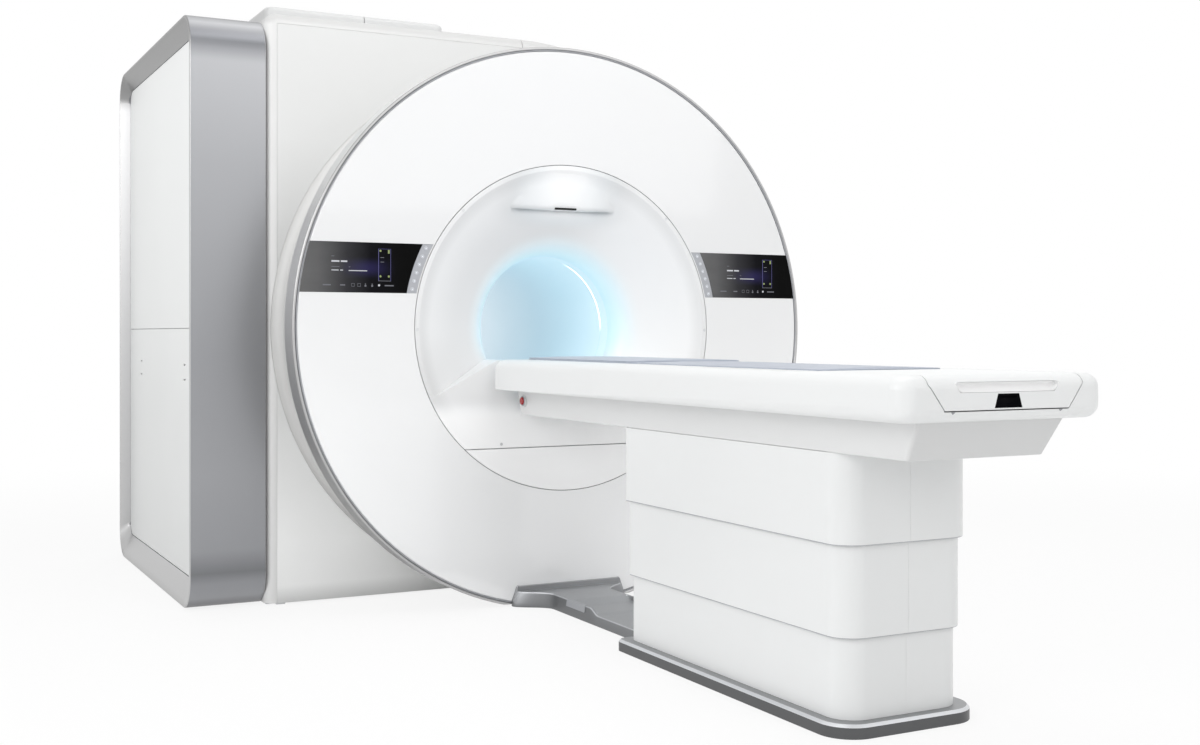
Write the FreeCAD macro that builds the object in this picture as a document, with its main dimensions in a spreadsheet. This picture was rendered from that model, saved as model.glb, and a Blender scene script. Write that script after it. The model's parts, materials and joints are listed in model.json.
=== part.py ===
import FreeCAD, Part
import math
import operator
import os
import Sketcher
from FreeCAD import Rotation, Vector

# Cylindrical-bore MRI scanner with its docked patient table. Lengths are millimetres.
# Frame: the origin is on the floor below the isocentre, +Z is up and the patient axis
# runs along Y. The front, where the table docks, faces -Y, and +X is to the right of
# someone who stands in front and faces the bore.

# ---------------------------------------------------------------- driving dimensions
SIZES = {
    # gantry, measured from the isocentre
    "isocentre_height": 1110,
    "front_reach": 1070,
    "rear_reach": 1062,
    "floor_gap": 8,
    "fit_gap": 0.3,
    "running_gap": 0.08,
    "seam_gap": 3,
    "joint_gap": 0.6,
    # bore and coils
    "bore_radius": 300,
    "throat_reach": 845,
    "liner_wall": 10,
    "body_coil_wall": 20,
    "body_coil_reach": 330,
    "body_coil_windows": 16,
    "window_width": 84,
    "window_reach": 240,
    "gradient_radius": 445,
    "gradient_reach": 700,
    "gradient_chamfer": 12,
    "light_ring_reach": 775,
    "light_ring_width": 8,
    "light_ring_depth": 3.5,
    # magnet vessel, its neck and cold head
    "vessel_radius": 1000,
    "vessel_reach": 835,
    "vessel_chamfer": 60,
    "neck_radius": 110,
    "neck_drop": 293,
    "neck_flange": 140,
    "flange_height": 20,
    "cold_head_radius": 72,
    "cold_head_height": 330,
    "fitting_radius": 16,
    # magnet base and saddles
    "base_half_width": 650,
    "base_reach": 555,
    "base_height": 20,
    "saddle_half_width": 600,
    "saddle_reach": 545,
    "saddle_depth": 120,
    # front covers
    "disc_radius": 1120,
    "disc_wall": 16,
    "disc_edge": 4,
    "rim_radius": 1138,
    "rim_wall": 13,
    "rim_depth": 107,
    "rim_flange": 8,
    "collar_radius": 1062,
    "cover_wall": 12,
    "cove_radius": 38,
    # entry bezel
    "bezel_radius": 660,
    "bezel_wall": 8,
    "flare_radius": 104.3,
    "flare_angle": 25,
    "lip_blend": 12,
    "bezel_seam": 480,
    "shelf_half_width": 315,
    "shelf_drop": 130,
    "wing_half_width": 596,
    "brow_drop": 481,
    "brow_depth": 25,
    "brow_radius": 1230,
    "brow_lean": 8.4,
    "camera_half_width": 49,
    "camera_height": 8,
    "camera_depth": 16,
    # displays and keypads, heights from the isocentre
    "display_low": 131,
    "display_high": 322,
    "display_outer": 1113,
    "display_inner": 705,
    "keypad_inner": 666,
    "display_depth": 8,
    # screws of the bezel
    "screw_circle": 649,
    "screw_head": 6,
    "screw_head_depth": 3,
    "screw_shank": 2.5,
    # front cover frame
    "ring_depth": 20,
    "outer_ring_width": 54,
    "inner_ring_width": 60,
    "arm_width": 60,
    "arm_count": 8,
    "post_radius": 25,
    "post_circle": 905,
    # enclosure
    "body_reach": 620,
    "body_radius": 1263,
    "body_left": 1121,
    "edge_round": 45,
    "corner_round": 50,
    "frame_width": 50,
    "frame_depth": 40,
    # rear bezel
    "rear_bezel_radius": 560,
    "rear_flare_angle": 35,
    # service turret
    "turret_left": 1034,
    "turret_seam": 599,
    "turret_right": 226,
    "turret_front": 270,
    "turret_depth": 560,
    "turret_height": 102.7,
    "turret_round": 40,
    "turret_wall": 6,
    "hatch_margin": 40,
    # cabinet
    "cabinet_left": 1418,
    "cabinet_height": 2348,
    "cabinet_round": 130,
    "band_front": 30,
    "band_edge": 72,
    "band_lip": 8,
    "band_bevel": 46,
    "panel_recess": 2,
    "panel_wall": 12,
    "panel_seam": 1108,
    "panel_gap": 2.5,
    "slot_length": 44,
    "slot_height": 7,
    "slot_high": 957,
    "slot_low": 896,
    "slot_front": 275,
    "slot_rear": 726,
    "rack_tube": 40,
    "module_height": 420,
    # floor tray
    "tray_half_width": 128,
    "tray_flare": 240,
    "tray_neck": 60,
    "tray_wall": 12,
    "tray_floor": 20,
    "lip_rear": 60,
    "lip_front": 40,
    "lip_step": 460,
    "insert_start": 250,
    "insert_end": 405,
    # table: heights
    "table_height": 984,
    "slab_depth": 118,
    "beam_bottom": 765,
    "upper_cover_bottom": 516.6,
    "middle_cover_bottom": 263.8,
    "plate_height": 39,
    "cover_overlap": 18,
    # table: plan
    "table_gap": 32,
    "slab_length": 2458,
    "slab_half_width": 342,
    "slab_round": 38,
    "slab_arris": 5,
    "slab_corner": 52,
    "slab_corner_dock": 14,
    # cradle
    "cradle_half_width": 256,
    "cradle_shoulder": 962,
    "cradle_keel": 205,
    "cradle_bottom": 896,
    "channel_gap": 3,
    "runner_offset": 179,
    "runner_half_width": 6,
    "runner_drop": 6,
    "rail_half_width": 14,
    "rail_depth": 12,
    "dish_half_width": 232,
    "dish_depth": 26,
    "dish_end": 482,
    "dish_start": 40,
    "pad_crown": 7,
    "head_length": 880,
    "head_rise": 5,
    "slot_half_width": 175,
    "slot_taper": 17,
    "slot_top": 966,
    "slot_bottom": 940,
    "slot_depth": 42,
    "slot_round": 9,
    "catch_top": 35,
    "catch_foot": 46,
    "catch_height": 36,
    "catch_depth": 40,
    "catch_travel": 6,
    # undercarriage beam
    "beam_half_width": 231,
    "beam_flare": 16,
    "beam_inset_bottom": 114,
    "beam_inset_top": 53,
    "beam_inset_dock": 16,
    "beam_wall": 6,
    "beam_round": 5,
    "beam_corner": 14,
    # stop buttons
    "stop_radius": 15,
    "stop_height": 14,
    "stop_boss": 22,
    "stop_stem": 8,
    "stop_stem_length": 16,
    "stop_travel": 5,
    "stop_face": 248,
    "stop_inset": 51,
    "stop_level": 822,
    # drive of the cradle
    "pulley_radius": 25,
    "pulley_flange": 28.5,
    "pulley_width": 22,
    "axle_radius": 8,
    "belt_width": 20,
    "belt_wall": 3,
    "pulley_level": 836,
    "drive_inset": 180,
    "idler_inset": 148,
    "motor_radius": 30,
    "motor_length": 120,
    "clamp_half_width": 9,
    "clamp_length": 80,
    "clamp_inset": 260,
    # pedestal
    "cover_half_width": 231,
    "cover_near": 3186,
    "cover_dock": 1960,
    "cover_step": 9.5,
    "cover_shell": 5,
    "cover_corner": 80,
    "cover_corner_dock": 30,
    "column_near": 2880,
    "column_dock": 2250,
    "column_radius": 80,
    "column_wall": 10,
    "column_flange": 112,
    "column_flange_height": 12,
    "lower_column_top": 315,
    "middle_column_bottom": 262,
    "middle_column_top": 537,
    "upper_column_bottom": 475,
    "tie_plate": 6,
    # base plate
    "plate_half_width": 250,
    "plate_near": 3204,
    "plate_dock": 1940,
    "plate_corner": 98,
    "plate_chamfer": 8,
    "anchor_spread": 240,
    "anchor_pitch": 900,
    "anchor_radius": 9,
}

doc = FreeCAD.newDocument("mri_scanner")
sheet = doc.addObject("Spreadsheet::Sheet", "sizes")
for row, (alias, amount) in enumerate(SIZES.items(), 1):
    sheet.set(f"A{row}", alias)
    sheet.set(f"B{row}", str(amount))
    sheet.setAlias(f"B{row}", alias)
doc.recompute()


# ------------------------------------------------------------- sizes and their formulas
class Size:
    """A number together with the formula of sheet cells that it comes from."""

    def __init__(self, number, formula):
        self.number = float(number)
        self.formula = formula

    def __add__(self, other):
        return joined(self, operator.add, "+", other)

    def __radd__(self, other):
        return joined(other, operator.add, "+", self)

    def __sub__(self, other):
        return joined(self, operator.sub, "-", other)

    def __rsub__(self, other):
        return joined(other, operator.sub, "-", self)

    def __mul__(self, other):
        return joined(self, operator.mul, "*", other)

    def __rmul__(self, other):
        return joined(other, operator.mul, "*", self)

    def __truediv__(self, other):
        return joined(self, operator.truediv, "/", other)

    def __rtruediv__(self, other):
        return joined(other, operator.truediv, "/", self)

    def __neg__(self):
        return Size(-self.number, f"(0 - {self.formula})")


def as_size(value):
    """A plain number as a size whose formula is that number."""
    if isinstance(value, Size):
        return value
    return Size(value, f"({value})")


def joined(first, work, sign, second):
    """Two sizes combined, in number and in formula."""
    first = as_size(first)
    second = as_size(second)
    return Size(work(first.number, second.number), f"({first.formula} {sign} {second.formula})")


def root(value):
    return Size(math.sqrt(value.number), f"sqrt({value.formula})")


def chord(radius, height):
    """Half the chord that a circle about the origin has at a height."""
    return root(radius * radius - height * height)


def sine(angle):
    return Size(math.sin(math.radians(angle.number)), f"sin({angle.formula} * 1 deg)")


def cosine(angle):
    return Size(math.cos(math.radians(angle.number)), f"cos({angle.formula} * 1 deg)")


class Cells:
    """The cells of the sheet, each as a size under its alias."""

    def __getattr__(self, alias):
        return Size(sheet.get(alias), f"sizes.{alias}")


s = Cells()


def bind(feature, name, value):
    """Bind one property of a feature to a size."""
    feature.setExpression(name, as_size(value).formula)


# ----------------------------------------------------------------- modelling vocabulary
PLANES = {"front": "XZ_Plane", "side": "YZ_Plane", "plan": "XY_Plane"}
PIECES = []


def new_body(label, x=0, y=0, z=0, piece=True):
    """A body whose own origin is at a bound place."""
    body = doc.addObject("PartDesign::Body", label)
    body.Label = label
    for axis, value in (("x", x), ("y", y), ("z", z)):
        bind(body, f"Placement.Base.{axis}", value)
    if piece:
        PIECES.append(body)
    return body


def gantry_body(label, piece=True):
    """A body about the patient axis: its origin is the isocentre."""
    return new_body(label, z=s.isocentre_height, piece=piece)


def new_sketch(body, view, station=0):
    """An empty sketch parallel to one of the body's origin planes, at a station along its axis."""
    sketch = body.newObject("Sketcher::SketchObject", "outline")
    plane = [p for p in body.Origin.OriginFeatures if p.Role == PLANES[view]][0]
    sketch.AttachmentSupport = [(plane, "")]
    sketch.MapMode = "FlatFace"
    station = as_size(station)
    bind(sketch, "AttachmentOffset.Base.z", -station if view == "front" else station)
    sketch.addProperty("App::PropertyString", "View")
    sketch.View = view
    return sketch


def hold(sketch, kind, element, point, value):
    """One dimension of a sketch point from the sketch's origin, bound to a size."""
    value = as_size(value)
    index = sketch.addConstraint(Sketcher.Constraint(kind, -1, 1, element, point, value.number))
    sketch.setExpression(f"Constraints[{index}]", value.formula)


def hold_radius(sketch, element, value):
    index = sketch.addConstraint(Sketcher.Constraint("Radius", element, value.number))
    sketch.setExpression(f"Constraints[{index}]", value.formula)


def draw(sketch, corners):
    """A closed outline of corners (across, up). An arc that leaves a corner adds its radius
    and the side, left or right of the way it goes, where its centre lies."""
    first = sketch.GeometryCount
    count = len(corners)
    spots = [Vector(as_size(c[0]).number, as_size(c[1]).number, 0) for c in corners]
    starts = []
    ends = []
    for i, corner in enumerate(corners):
        here = spots[i]
        there = spots[(i + 1) % count]
        if len(corner) == 2:
            sketch.addGeometry(Part.LineSegment(here, there), False)
            starts.append(1)
            ends.append(2)
            continue
        radius = as_size(corner[2]).number
        turn = 1 if corner[3] == "left" else -1
        way = there - here
        lift = math.sqrt(max(radius * radius - way.Length * way.Length / 4, 0))
        normal = Vector(-way.y, way.x, 0).normalize()
        centre = (here + there) * 0.5 + normal * (turn * lift)
        low, high = (here, there) if turn == 1 else (there, here)
        angle_low = math.atan2(low.y - centre.y, low.x - centre.x)
        angle_high = math.atan2(high.y - centre.y, high.x - centre.x)
        circle = Part.Circle(centre, Vector(0, 0, 1), radius)
        sketch.addGeometry(Part.ArcOfCircle(circle, angle_low, angle_high), False)
        starts.append(1 if turn == 1 else 2)
        ends.append(2 if turn == 1 else 1)
        hold_radius(sketch, first + i, as_size(corner[2]))
    for i, corner in enumerate(corners):
        after = (i + 1) % count
        sketch.addConstraint(
            Sketcher.Constraint("Coincident", first + i, ends[i], first + after, starts[after])
        )
        hold(sketch, "DistanceX", first + i, starts[i], corner[0])
        hold(sketch, "DistanceY", first + i, starts[i], corner[1])


def draw_circle(sketch, across, up, radius):
    """One circle of a sketch."""
    element = sketch.GeometryCount
    centre = Vector(as_size(across).number, as_size(up).number, 0)
    sketch.addGeometry(Part.Circle(centre, Vector(0, 0, 1), as_size(radius).number), False)
    hold(sketch, "DistanceX", element, 3, across)
    hold(sketch, "DistanceY", element, 3, up)
    hold_radius(sketch, element, as_size(radius))


def rectangle(left, bottom, right, top):
    """The corners of an upright rectangle."""
    return [(left, bottom), (right, bottom), (right, top), (left, top)]


def rounded(left, bottom, right, top, radius):
    """An upright rectangle whose corners are arcs. One radius, or four from the bottom left on."""
    radii = radius if isinstance(radius, (list, tuple)) else [radius] * 4
    a, b, c, d = radii
    return [
        (left + a, bottom),
        (right - b, bottom, b, "left"),
        (right, bottom + b),
        (right, top - c, c, "left"),
        (right - c, top),
        (left + d, top, d, "left"),
        (left, top - d),
        (left, bottom + a, a, "left"),
    ]


def extrude(body, sketch, length):
    """Add a prism that grows from its sketch toward the positive end of the axis."""
    pad = body.newObject("PartDesign::Pad", "pad")
    pad.Profile = sketch
    bind(pad, "Length", length)
    pad.Reversed = sketch.View == "front"
    return pad


def cut(body, sketch, length):
    """Cut a prism that grows from its sketch toward the positive end of the axis."""
    pocket = body.newObject("PartDesign::Pocket", "pocket")
    pocket.Profile = sketch
    bind(pocket, "Length", length)
    pocket.Reversed = sketch.View != "front"
    return pocket


def turn(body, sketch, kind="Revolution", axis="H_Axis"):
    """Turn a profile a full circle about an axis of its sketch, to add it or to cut a groove."""
    feature = body.newObject(f"PartDesign::{kind}", kind.lower())
    feature.Profile = sketch
    feature.ReferenceAxis = (sketch, [axis])
    feature.Angle = 360
    return feature


def add_prism(body, view, start, length, corners):
    sketch = new_sketch(body, view, start)
    draw(sketch, corners)
    return extrude(body, sketch, length)


def cut_prism(body, view, start, length, corners):
    sketch = new_sketch(body, view, start)
    draw(sketch, corners)
    return cut(body, sketch, length)


def add_rounds(body, view, start, length, circles):
    sketch = new_sketch(body, view, start)
    for across, up, radius in circles:
        draw_circle(sketch, across, up, radius)
    return extrude(body, sketch, length)


def cut_rounds(body, view, start, length, circles):
    sketch = new_sketch(body, view, start)
    for across, up, radius in circles:
        draw_circle(sketch, across, up, radius)
    return cut(body, sketch, length)


def add_turned(body, corners, view="side", axis="H_Axis"):
    sketch = new_sketch(body, view)
    draw(sketch, corners)
    return turn(body, sketch, "Revolution", axis)


def cut_turned(body, corners, view="side", axis="H_Axis"):
    sketch = new_sketch(body, view)
    draw(sketch, corners)
    return turn(body, sketch, "Groove", axis)


def finish_edges(body, kind, size, chosen):
    """Round or chamfer the edges that a test picks."""
    doc.recompute()
    tip = body.Tip
    names = [f"Edge{i}" for i, edge in enumerate(tip.Shape.Edges, 1) if chosen(edge)]
    feature = body.newObject(f"PartDesign::{kind}", kind.lower())
    feature.Base = (tip, names)
    bind(feature, "Radius" if kind == "Fillet" else "Size", size)
    return feature


def repeat(body, feature, axis, count):
    """Repeat a feature evenly round one of the body's origin axes."""
    doc.recompute()
    pattern = body.newObject("PartDesign::PolarPattern", "pattern")
    pattern.Originals = [feature]
    line = [a for a in body.Origin.OriginFeatures if a.Role == axis][0]
    pattern.Axis = (line, [""])
    pattern.Angle = 360
    bind(pattern, "Occurrences", count)
    body.Tip = pattern
    return pattern


def near(value, target, slack=0.01):
    return abs(value - as_size(target).number) < slack


def flat_in(edge, axis, target):
    """Whether an edge lies wholly in a plane across an axis."""
    box = edge.BoundBox
    low = getattr(box, axis + "Min")
    high = getattr(box, axis + "Max")
    return near(low, target) and near(high, target)


def combine(kind, label, shapes, piece=False):
    """A boolean of whole objects: Cut takes the others from the first."""
    feature = doc.addObject(f"Part::{kind}", label)
    feature.Label = label
    if kind == "Cut":
        feature.Base, feature.Tool = shapes
    else:
        feature.Shapes = shapes
    if piece:
        PIECES.append(feature)
    return feature


def block(label, x, y, z, length, width, height):
    """A plain box that serves as a zone or a cutter."""
    box = doc.addObject("Part::Box", label)
    box.Label = label
    for name, value in (("Length", length), ("Width", width), ("Height", height)):
        bind(box, name, value)
    for axis, value in (("x", x), ("y", y), ("z", z)):
        bind(box, f"Placement.Base.{axis}", value)
    return box


# ------------------------------------------------------------------ places used by many
crown = s.isocentre_height + s.body_radius
disc_front = -s.front_reach
disc_back = disc_front + s.disc_wall
bezel_back = disc_front + s.bezel_wall
lip_radius = s.bezel_radius - s.seam_gap / 2
liner_radius = s.bore_radius + s.liner_wall
body_coil_radius = liner_radius + s.fit_gap + s.body_coil_wall
channel_floor = s.cradle_bottom - s.channel_gap
runner_foot = s.cradle_bottom - s.runner_drop
groove_floor = runner_foot - s.fit_gap
slab_front = -(s.front_reach + s.table_gap)
slab_near = slab_front - s.slab_length
slab_bottom = s.table_height - s.slab_depth
beam_near_bottom = -slab_near - s.beam_inset_bottom
beam_near_top = -slab_near - s.beam_inset_top
beam_dock_end = -slab_front + s.beam_inset_dock
stop_station = beam_dock_end + s.stop_inset
drive_station = -slab_near - s.drive_inset
idler_station = -slab_front + s.idler_inset
clamp_station = -slab_near - s.clamp_inset
neck_top = crown - s.neck_drop
beam_top = slab_bottom - s.fit_gap


def cut_to_floor(body):
    """Cut a round cover flat, a little above the floor."""
    low = s.rim_radius + 20
    floor = s.floor_gap - s.isocentre_height
    return cut_prism(
        body, "front", -s.front_reach - 10, s.front_reach, rectangle(-low, -low, low, floor)
    )


# ----------------------------------------------------------------------- magnet and coils
def magnet_base():
    """A floor plate with two saddles that the vessel lies in, welded as one frame."""
    body = new_body("magnet_base")
    add_prism(
        body,
        "plan",
        0,
        s.base_height,
        rectangle(-s.base_half_width, -s.base_reach, s.base_half_width, s.base_reach),
    )
    cradle = s.vessel_radius + s.fit_gap
    horn = s.isocentre_height - chord(cradle, s.saddle_half_width)
    outline = [
        (-s.saddle_half_width, s.base_height),
        (s.saddle_half_width, s.base_height),
        (s.saddle_half_width, horn, cradle, "right"),
        (-s.saddle_half_width, horn),
    ]
    for start in (-s.saddle_reach, s.saddle_reach - s.saddle_depth):
        add_prism(body, "front", start, s.saddle_depth, outline)


def magnet_vessel():
    """The closed cryostat: a dished ring with a neck for the cold head."""
    body = gantry_body("magnet_vessel")
    reach = s.vessel_reach
    inner = s.gradient_radius + s.fit_gap
    shoulder = s.vessel_radius - s.vessel_chamfer
    add_turned(
        body,
        [
            (-reach, inner),
            (reach, inner),
            (reach, shoulder),
            (reach - s.vessel_chamfer, s.vessel_radius),
            (-reach + s.vessel_chamfer, s.vessel_radius),
            (-reach, shoulder),
        ],
    )
    neck_x = -(s.turret_left + s.turret_right) / 2
    neck_y = -s.turret_front + s.turret_depth / 2
    top = neck_top - s.isocentre_height
    buried = s.vessel_radius / 2
    add_rounds(body, "plan", buried, top - buried, [(neck_x, neck_y, s.neck_radius)])
    flange = top - s.flange_height
    add_rounds(body, "plan", flange, s.flange_height, [(neck_x, neck_y, s.neck_flange)])


def cold_head():
    """The cryocooler that stands on the neck: flange, cylinder, motor cap and gas fittings."""
    x = -(s.turret_left + s.turret_right) / 2
    y = -s.turret_front + s.turret_depth / 2
    body = new_body("cold_head", x, y, neck_top + s.fit_gap)
    top = s.cold_head_height
    flange = s.flange_height
    waist = s.cold_head_radius * 0.7
    cap = top * 0.55
    add_turned(
        body,
        [
            (0, 0),
            (s.neck_flange - 10, 0),
            (s.neck_flange - 10, flange),
            (waist, flange),
            (waist, cap),
            (s.cold_head_radius, cap + 14),
            (s.cold_head_radius, top - 14),
            (s.cold_head_radius - 14, top),
            (0, top),
        ],
        view="front",
        axis="V_Axis",
    )
    level = cap + 50
    add_rounds(body, "side", 0, s.cold_head_radius + 40, [(30, level, s.fitting_radius)])
    add_rounds(body, "side", 0, s.cold_head_radius + 40, [(-30, level, s.fitting_radius)])


def gradient_coil():
    """The potted gradient coil, a thick tube with chamfered ends."""
    body = gantry_body("gradient_coil")
    inner = body_coil_radius + s.fit_gap
    reach = s.gradient_reach
    add_turned(body, rectangle(-reach, inner, reach, s.gradient_radius))
    finish_edges(
        body,
        "Chamfer",
        s.gradient_chamfer,
        lambda edge: hasattr(edge.Curve, "Radius") and near(edge.Curve.Radius, s.gradient_radius),
    )


def rf_body_coil():
    """The birdcage body coil: two end rings joined by rungs, with a window between rungs."""
    body = gantry_body("rf_body_coil")
    inner = liner_radius + s.fit_gap
    reach = s.body_coil_reach
    add_turned(body, rectangle(-reach, inner, reach, body_coil_radius))
    half = s.window_width / 2
    window = cut_prism(
        body,
        "plan",
        0,
        body_coil_radius + 10,
        rectangle(-half, -s.window_reach, half, s.window_reach),
    )
    repeat(body, window, "Y_Axis", s.body_coil_windows)


def bore_liner():
    """The bore wall, with an inside groove for the light ring near the front."""
    body = gantry_body("bore_liner")
    reach = s.throat_reach - s.fit_gap
    inner = s.bore_radius
    half = s.light_ring_width / 2 + s.fit_gap
    floor = inner + s.light_ring_depth + s.fit_gap
    ring = -s.light_ring_reach
    add_turned(
        body,
        [
            (-reach, inner),
            (ring - half, inner),
            (ring - half, floor),
            (ring + half, floor),
            (ring + half, inner),
            (reach, inner),
            (reach, liner_radius),
            (-reach, liner_radius),
        ],
    )


def light_ring():
    """The thin light guide set in the bore wall."""
    body = gantry_body("light_ring")
    ring = -s.light_ring_reach
    half = s.light_ring_width / 2
    inner = s.bore_radius
    add_turned(
        body, rectangle(ring - half, inner, ring + half, inner + s.light_ring_depth)
    )


def track_line(level, floor):
    """The top line of a cradle track from right to left, with its two runner grooves."""
    half = s.runner_half_width + 2
    points = []
    for hand in (1, -1):
        middle = hand * s.runner_offset
        points += [
            (middle + half, level),
            (middle + half, floor),
            (middle - half, floor),
            (middle - half, level),
        ]
    return points


def bore_bridge():
    """The track that carries the cradle through the bore, lying on the bore wall."""
    body = gantry_body("bore_bridge")
    level = channel_floor - s.isocentre_height
    floor = groove_floor - s.isocentre_height
    skin = s.bore_radius - s.fit_gap
    half = chord(skin, level)
    outline = [(-half, level, skin, "left"), (half, level)]
    outline += track_line(level, floor)
    reach = s.throat_reach - s.fit_gap
    add_prism(body, "front", -reach, reach * 2, outline)
    duct = 20
    duct_level = level - 38
    cut_rounds(
        body,
        "front",
        -s.throat_reach - 5,
        s.throat_reach * 2 + 10,
        [(-85, duct_level, duct), (85, duct_level, duct)],
    )


# ------------------------------------------------------------------------- entry bezels
def flare(hand, reach, throat, angle, outer, wall):
    """The wall of a bell mouth: a flat lip, a cone and an arc that runs into the throat,
    and two cones behind that arc.
    Points are (along the axis, radius), from the throat out and back behind the wall."""
    bend = s.flare_radius
    tight = bend - wall
    cone = s.bore_radius + bend * (1 - sine(angle))
    turn_in = throat + bend * cosine(angle)
    lip = cone + (reach - turn_in) * cosine(angle) / sine(angle)
    back_cone = cone + wall * sine(angle)
    back_in = turn_in - wall * cosine(angle)
    run = (reach - wall - back_in) / sine(angle)
    back_lip = back_cone + run * cosine(angle)
    half_turn = (as_size(90) - angle) / 2
    back_middle = throat + tight * sine(half_turn)
    back_radius = s.bore_radius + bend - tight * cosine(half_turn)
    other = "right" if hand < 0 else "left"
    return [
        (hand * throat, s.bore_radius, bend, other),
        (hand * turn_in, cone),
        (hand * reach, lip),
        (hand * reach, outer),
        (hand * (reach - wall), outer),
        (hand * (reach - wall), back_lip),
        (hand * back_in, back_cone),
        (hand * back_middle, back_radius),
        (hand * throat, s.bore_radius + wall),
    ]


def front_flare():
    """The bell mouth of the entry bezel."""
    return flare(-1, s.front_reach, s.throat_reach, s.flare_angle, lip_radius, s.bezel_wall)


def behind_flare():
    """The space behind the bell mouth's wall, which trims whatever is built into it."""
    outside = lip_radius + 60
    rear = -s.throat_reach + 20
    corners = front_flare()[4:]
    corners[0] = (corners[0][0], outside)
    return corners + [(rear, s.bore_radius + s.bezel_wall), (rear, outside)]


def wing_corners(drop=0):
    """The shelf and its two sloping wings, from left to right, lowered by a wall."""
    end = chord(lip_radius, s.wing_half_width)
    return [
        (-s.wing_half_width, -end - drop),
        (-s.shelf_half_width, -s.shelf_drop - drop),
        (s.shelf_half_width, -s.shelf_drop - drop),
        (s.wing_half_width, -end - drop),
    ]


def bezel_body():
    """The moulded entry bezel: flare, docking shelf with its wings, and the cradle channel."""
    body = gantry_body("bezel_moulding", piece=False)
    wall = s.bezel_wall
    add_turned(body, front_flare())
    finish_edges(
        body,
        "Fillet",
        s.lip_blend,
        lambda edge: flat_in(edge, "Y", disc_front) and edge.Curve.Radius < lip_radius.number - 1,
    )
    depth = s.front_reach - s.throat_reach
    low = s.bezel_radius + 20
    below = wing_corners() + [(low, -low), (-low, -low)]
    below[0] = (-low, below[0][1])
    below[3] = (low, below[3][1])
    below.insert(1, (-s.wing_half_width, -chord(lip_radius, s.wing_half_width)))
    below.insert(4, (s.wing_half_width, -chord(lip_radius, s.wing_half_width)))
    cut_prism(body, "front", disc_front - 5, depth + 10, below)
    seam = -s.bezel_seam + s.seam_gap / 2
    foot = chord(lip_radius, s.bezel_seam - s.seam_gap / 2)
    plate = wing_corners()
    plate[3] = (plate[3][0], plate[3][1], lip_radius, "right")
    plate += [(foot, seam), (-foot, seam, lip_radius, "right")]
    add_prism(body, "front", disc_front, wall, plate)
    shelf = wing_corners() + wing_corners(wall)[::-1]
    add_prism(body, "front", disc_front, depth, shelf)
    top = -s.shelf_drop - wall / 2
    shoulder = s.cradle_shoulder - 2 - s.isocentre_height
    level = channel_floor - s.isocentre_height
    floor = groove_floor - s.isocentre_height
    wide = s.cradle_half_width + s.channel_gap + 2
    keel = s.cradle_keel + s.channel_gap
    add_prism(
        body,
        "front",
        disc_front,
        depth,
        [
            (-wide - wall, top),
            (-wide - wall, shoulder),
            (-keel - wall, level - wall),
            (keel + wall, level - wall),
            (wide + wall, shoulder),
            (wide + wall, top),
        ],
    )
    channel = [(-wide, 0), (-wide, shoulder), (-keel, level)]
    channel += track_line(level, floor)[::-1]
    channel += [(keel, level), (wide, shoulder), (wide, 0)]
    cut_prism(body, "front", disc_front - 5, depth + 10, channel)
    cut_turned(body, behind_flare())
    return body


def brow():
    """The camera housing above the bore: a convex, leaning face with a straight lower edge."""
    body = gantry_body("brow_block", piece=False)
    rim = lip_radius - 6
    half = chord(rim, s.brow_drop)
    depth = s.front_reach - s.throat_reach
    add_prism(
        body,
        "front",
        disc_front,
        depth / 2,
        [(-half, s.brow_drop), (half, s.brow_drop, rim, "left")],
    )
    cut_turned(body, behind_flare())
    face = doc.addObject("Part::Cylinder", "brow_face")
    bind(face, "Radius", s.brow_radius)
    bind(face, "Height", s.bezel_radius)
    face.Placement = FreeCAD.Placement(Vector(0, 0, 0), Rotation(Vector(1, 0, 0), 8))
    bind(face, "Placement.Rotation.Angle", s.brow_lean)
    lower = s.bezel_radius / 2
    reach = s.brow_radius / cosine(s.brow_lean)
    lean = lower * sine(s.brow_lean) / cosine(s.brow_lean)
    bind(face, "Placement.Base.y", disc_front + s.brow_depth + reach + lean)
    bind(face, "Placement.Base.z", s.isocentre_height + s.brow_drop - lower)
    return combine("MultiCommon", "brow_solid", [body, face])


def front_bezel():
    """The bezel with its brow, less the camera window's notch and the screw holes."""
    whole = combine("MultiFuse", "bezel_with_brow", [bezel_body(), brow()])
    notch = block(
        "camera_notch",
        -s.camera_half_width - s.fit_gap,
        disc_front,
        s.isocentre_height + s.brow_drop - 5,
        s.camera_half_width * 2 + s.fit_gap * 2,
        s.brow_depth + s.camera_depth + s.fit_gap,
        s.camera_height + 5 + s.fit_gap,
    )
    holes = new_body("bezel_holes", z=s.isocentre_height, piece=False)
    spots = screw_spots()
    counterbore = s.screw_head_depth + s.fit_gap
    add_rounds(
        holes, "front", disc_front, counterbore, [(x, z, s.screw_head + s.fit_gap) for x, z in spots]
    )
    bore = s.screw_shank + s.fit_gap
    add_rounds(holes, "front", disc_front, s.bezel_wall * 2, [(x, z, bore) for x, z in spots])
    tools = combine("MultiFuse", "bezel_cuts", [notch, holes])
    bezel = combine("Cut", "front_bezel", [whole, tools], piece=True)
    return bezel


def lower_bezel_panel():
    """The removable panel that closes the bezel's circle below its seam."""
    body = gantry_body("lower_bezel_panel")
    top = -s.bezel_seam - s.seam_gap / 2
    half = chord(lip_radius, s.bezel_seam + s.seam_gap / 2)
    add_prism(
        body,
        "front",
        disc_front,
        s.bezel_wall,
        [(half, top), (-half, top, lip_radius, "left")],
    )
    rib = s.bezel_wall * 2
    add_prism(
        body,
        "front",
        bezel_back,
        rib,
        rectangle(-half * 0.7, top - rib - 10, half * 0.7, top - 10),
    )


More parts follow.
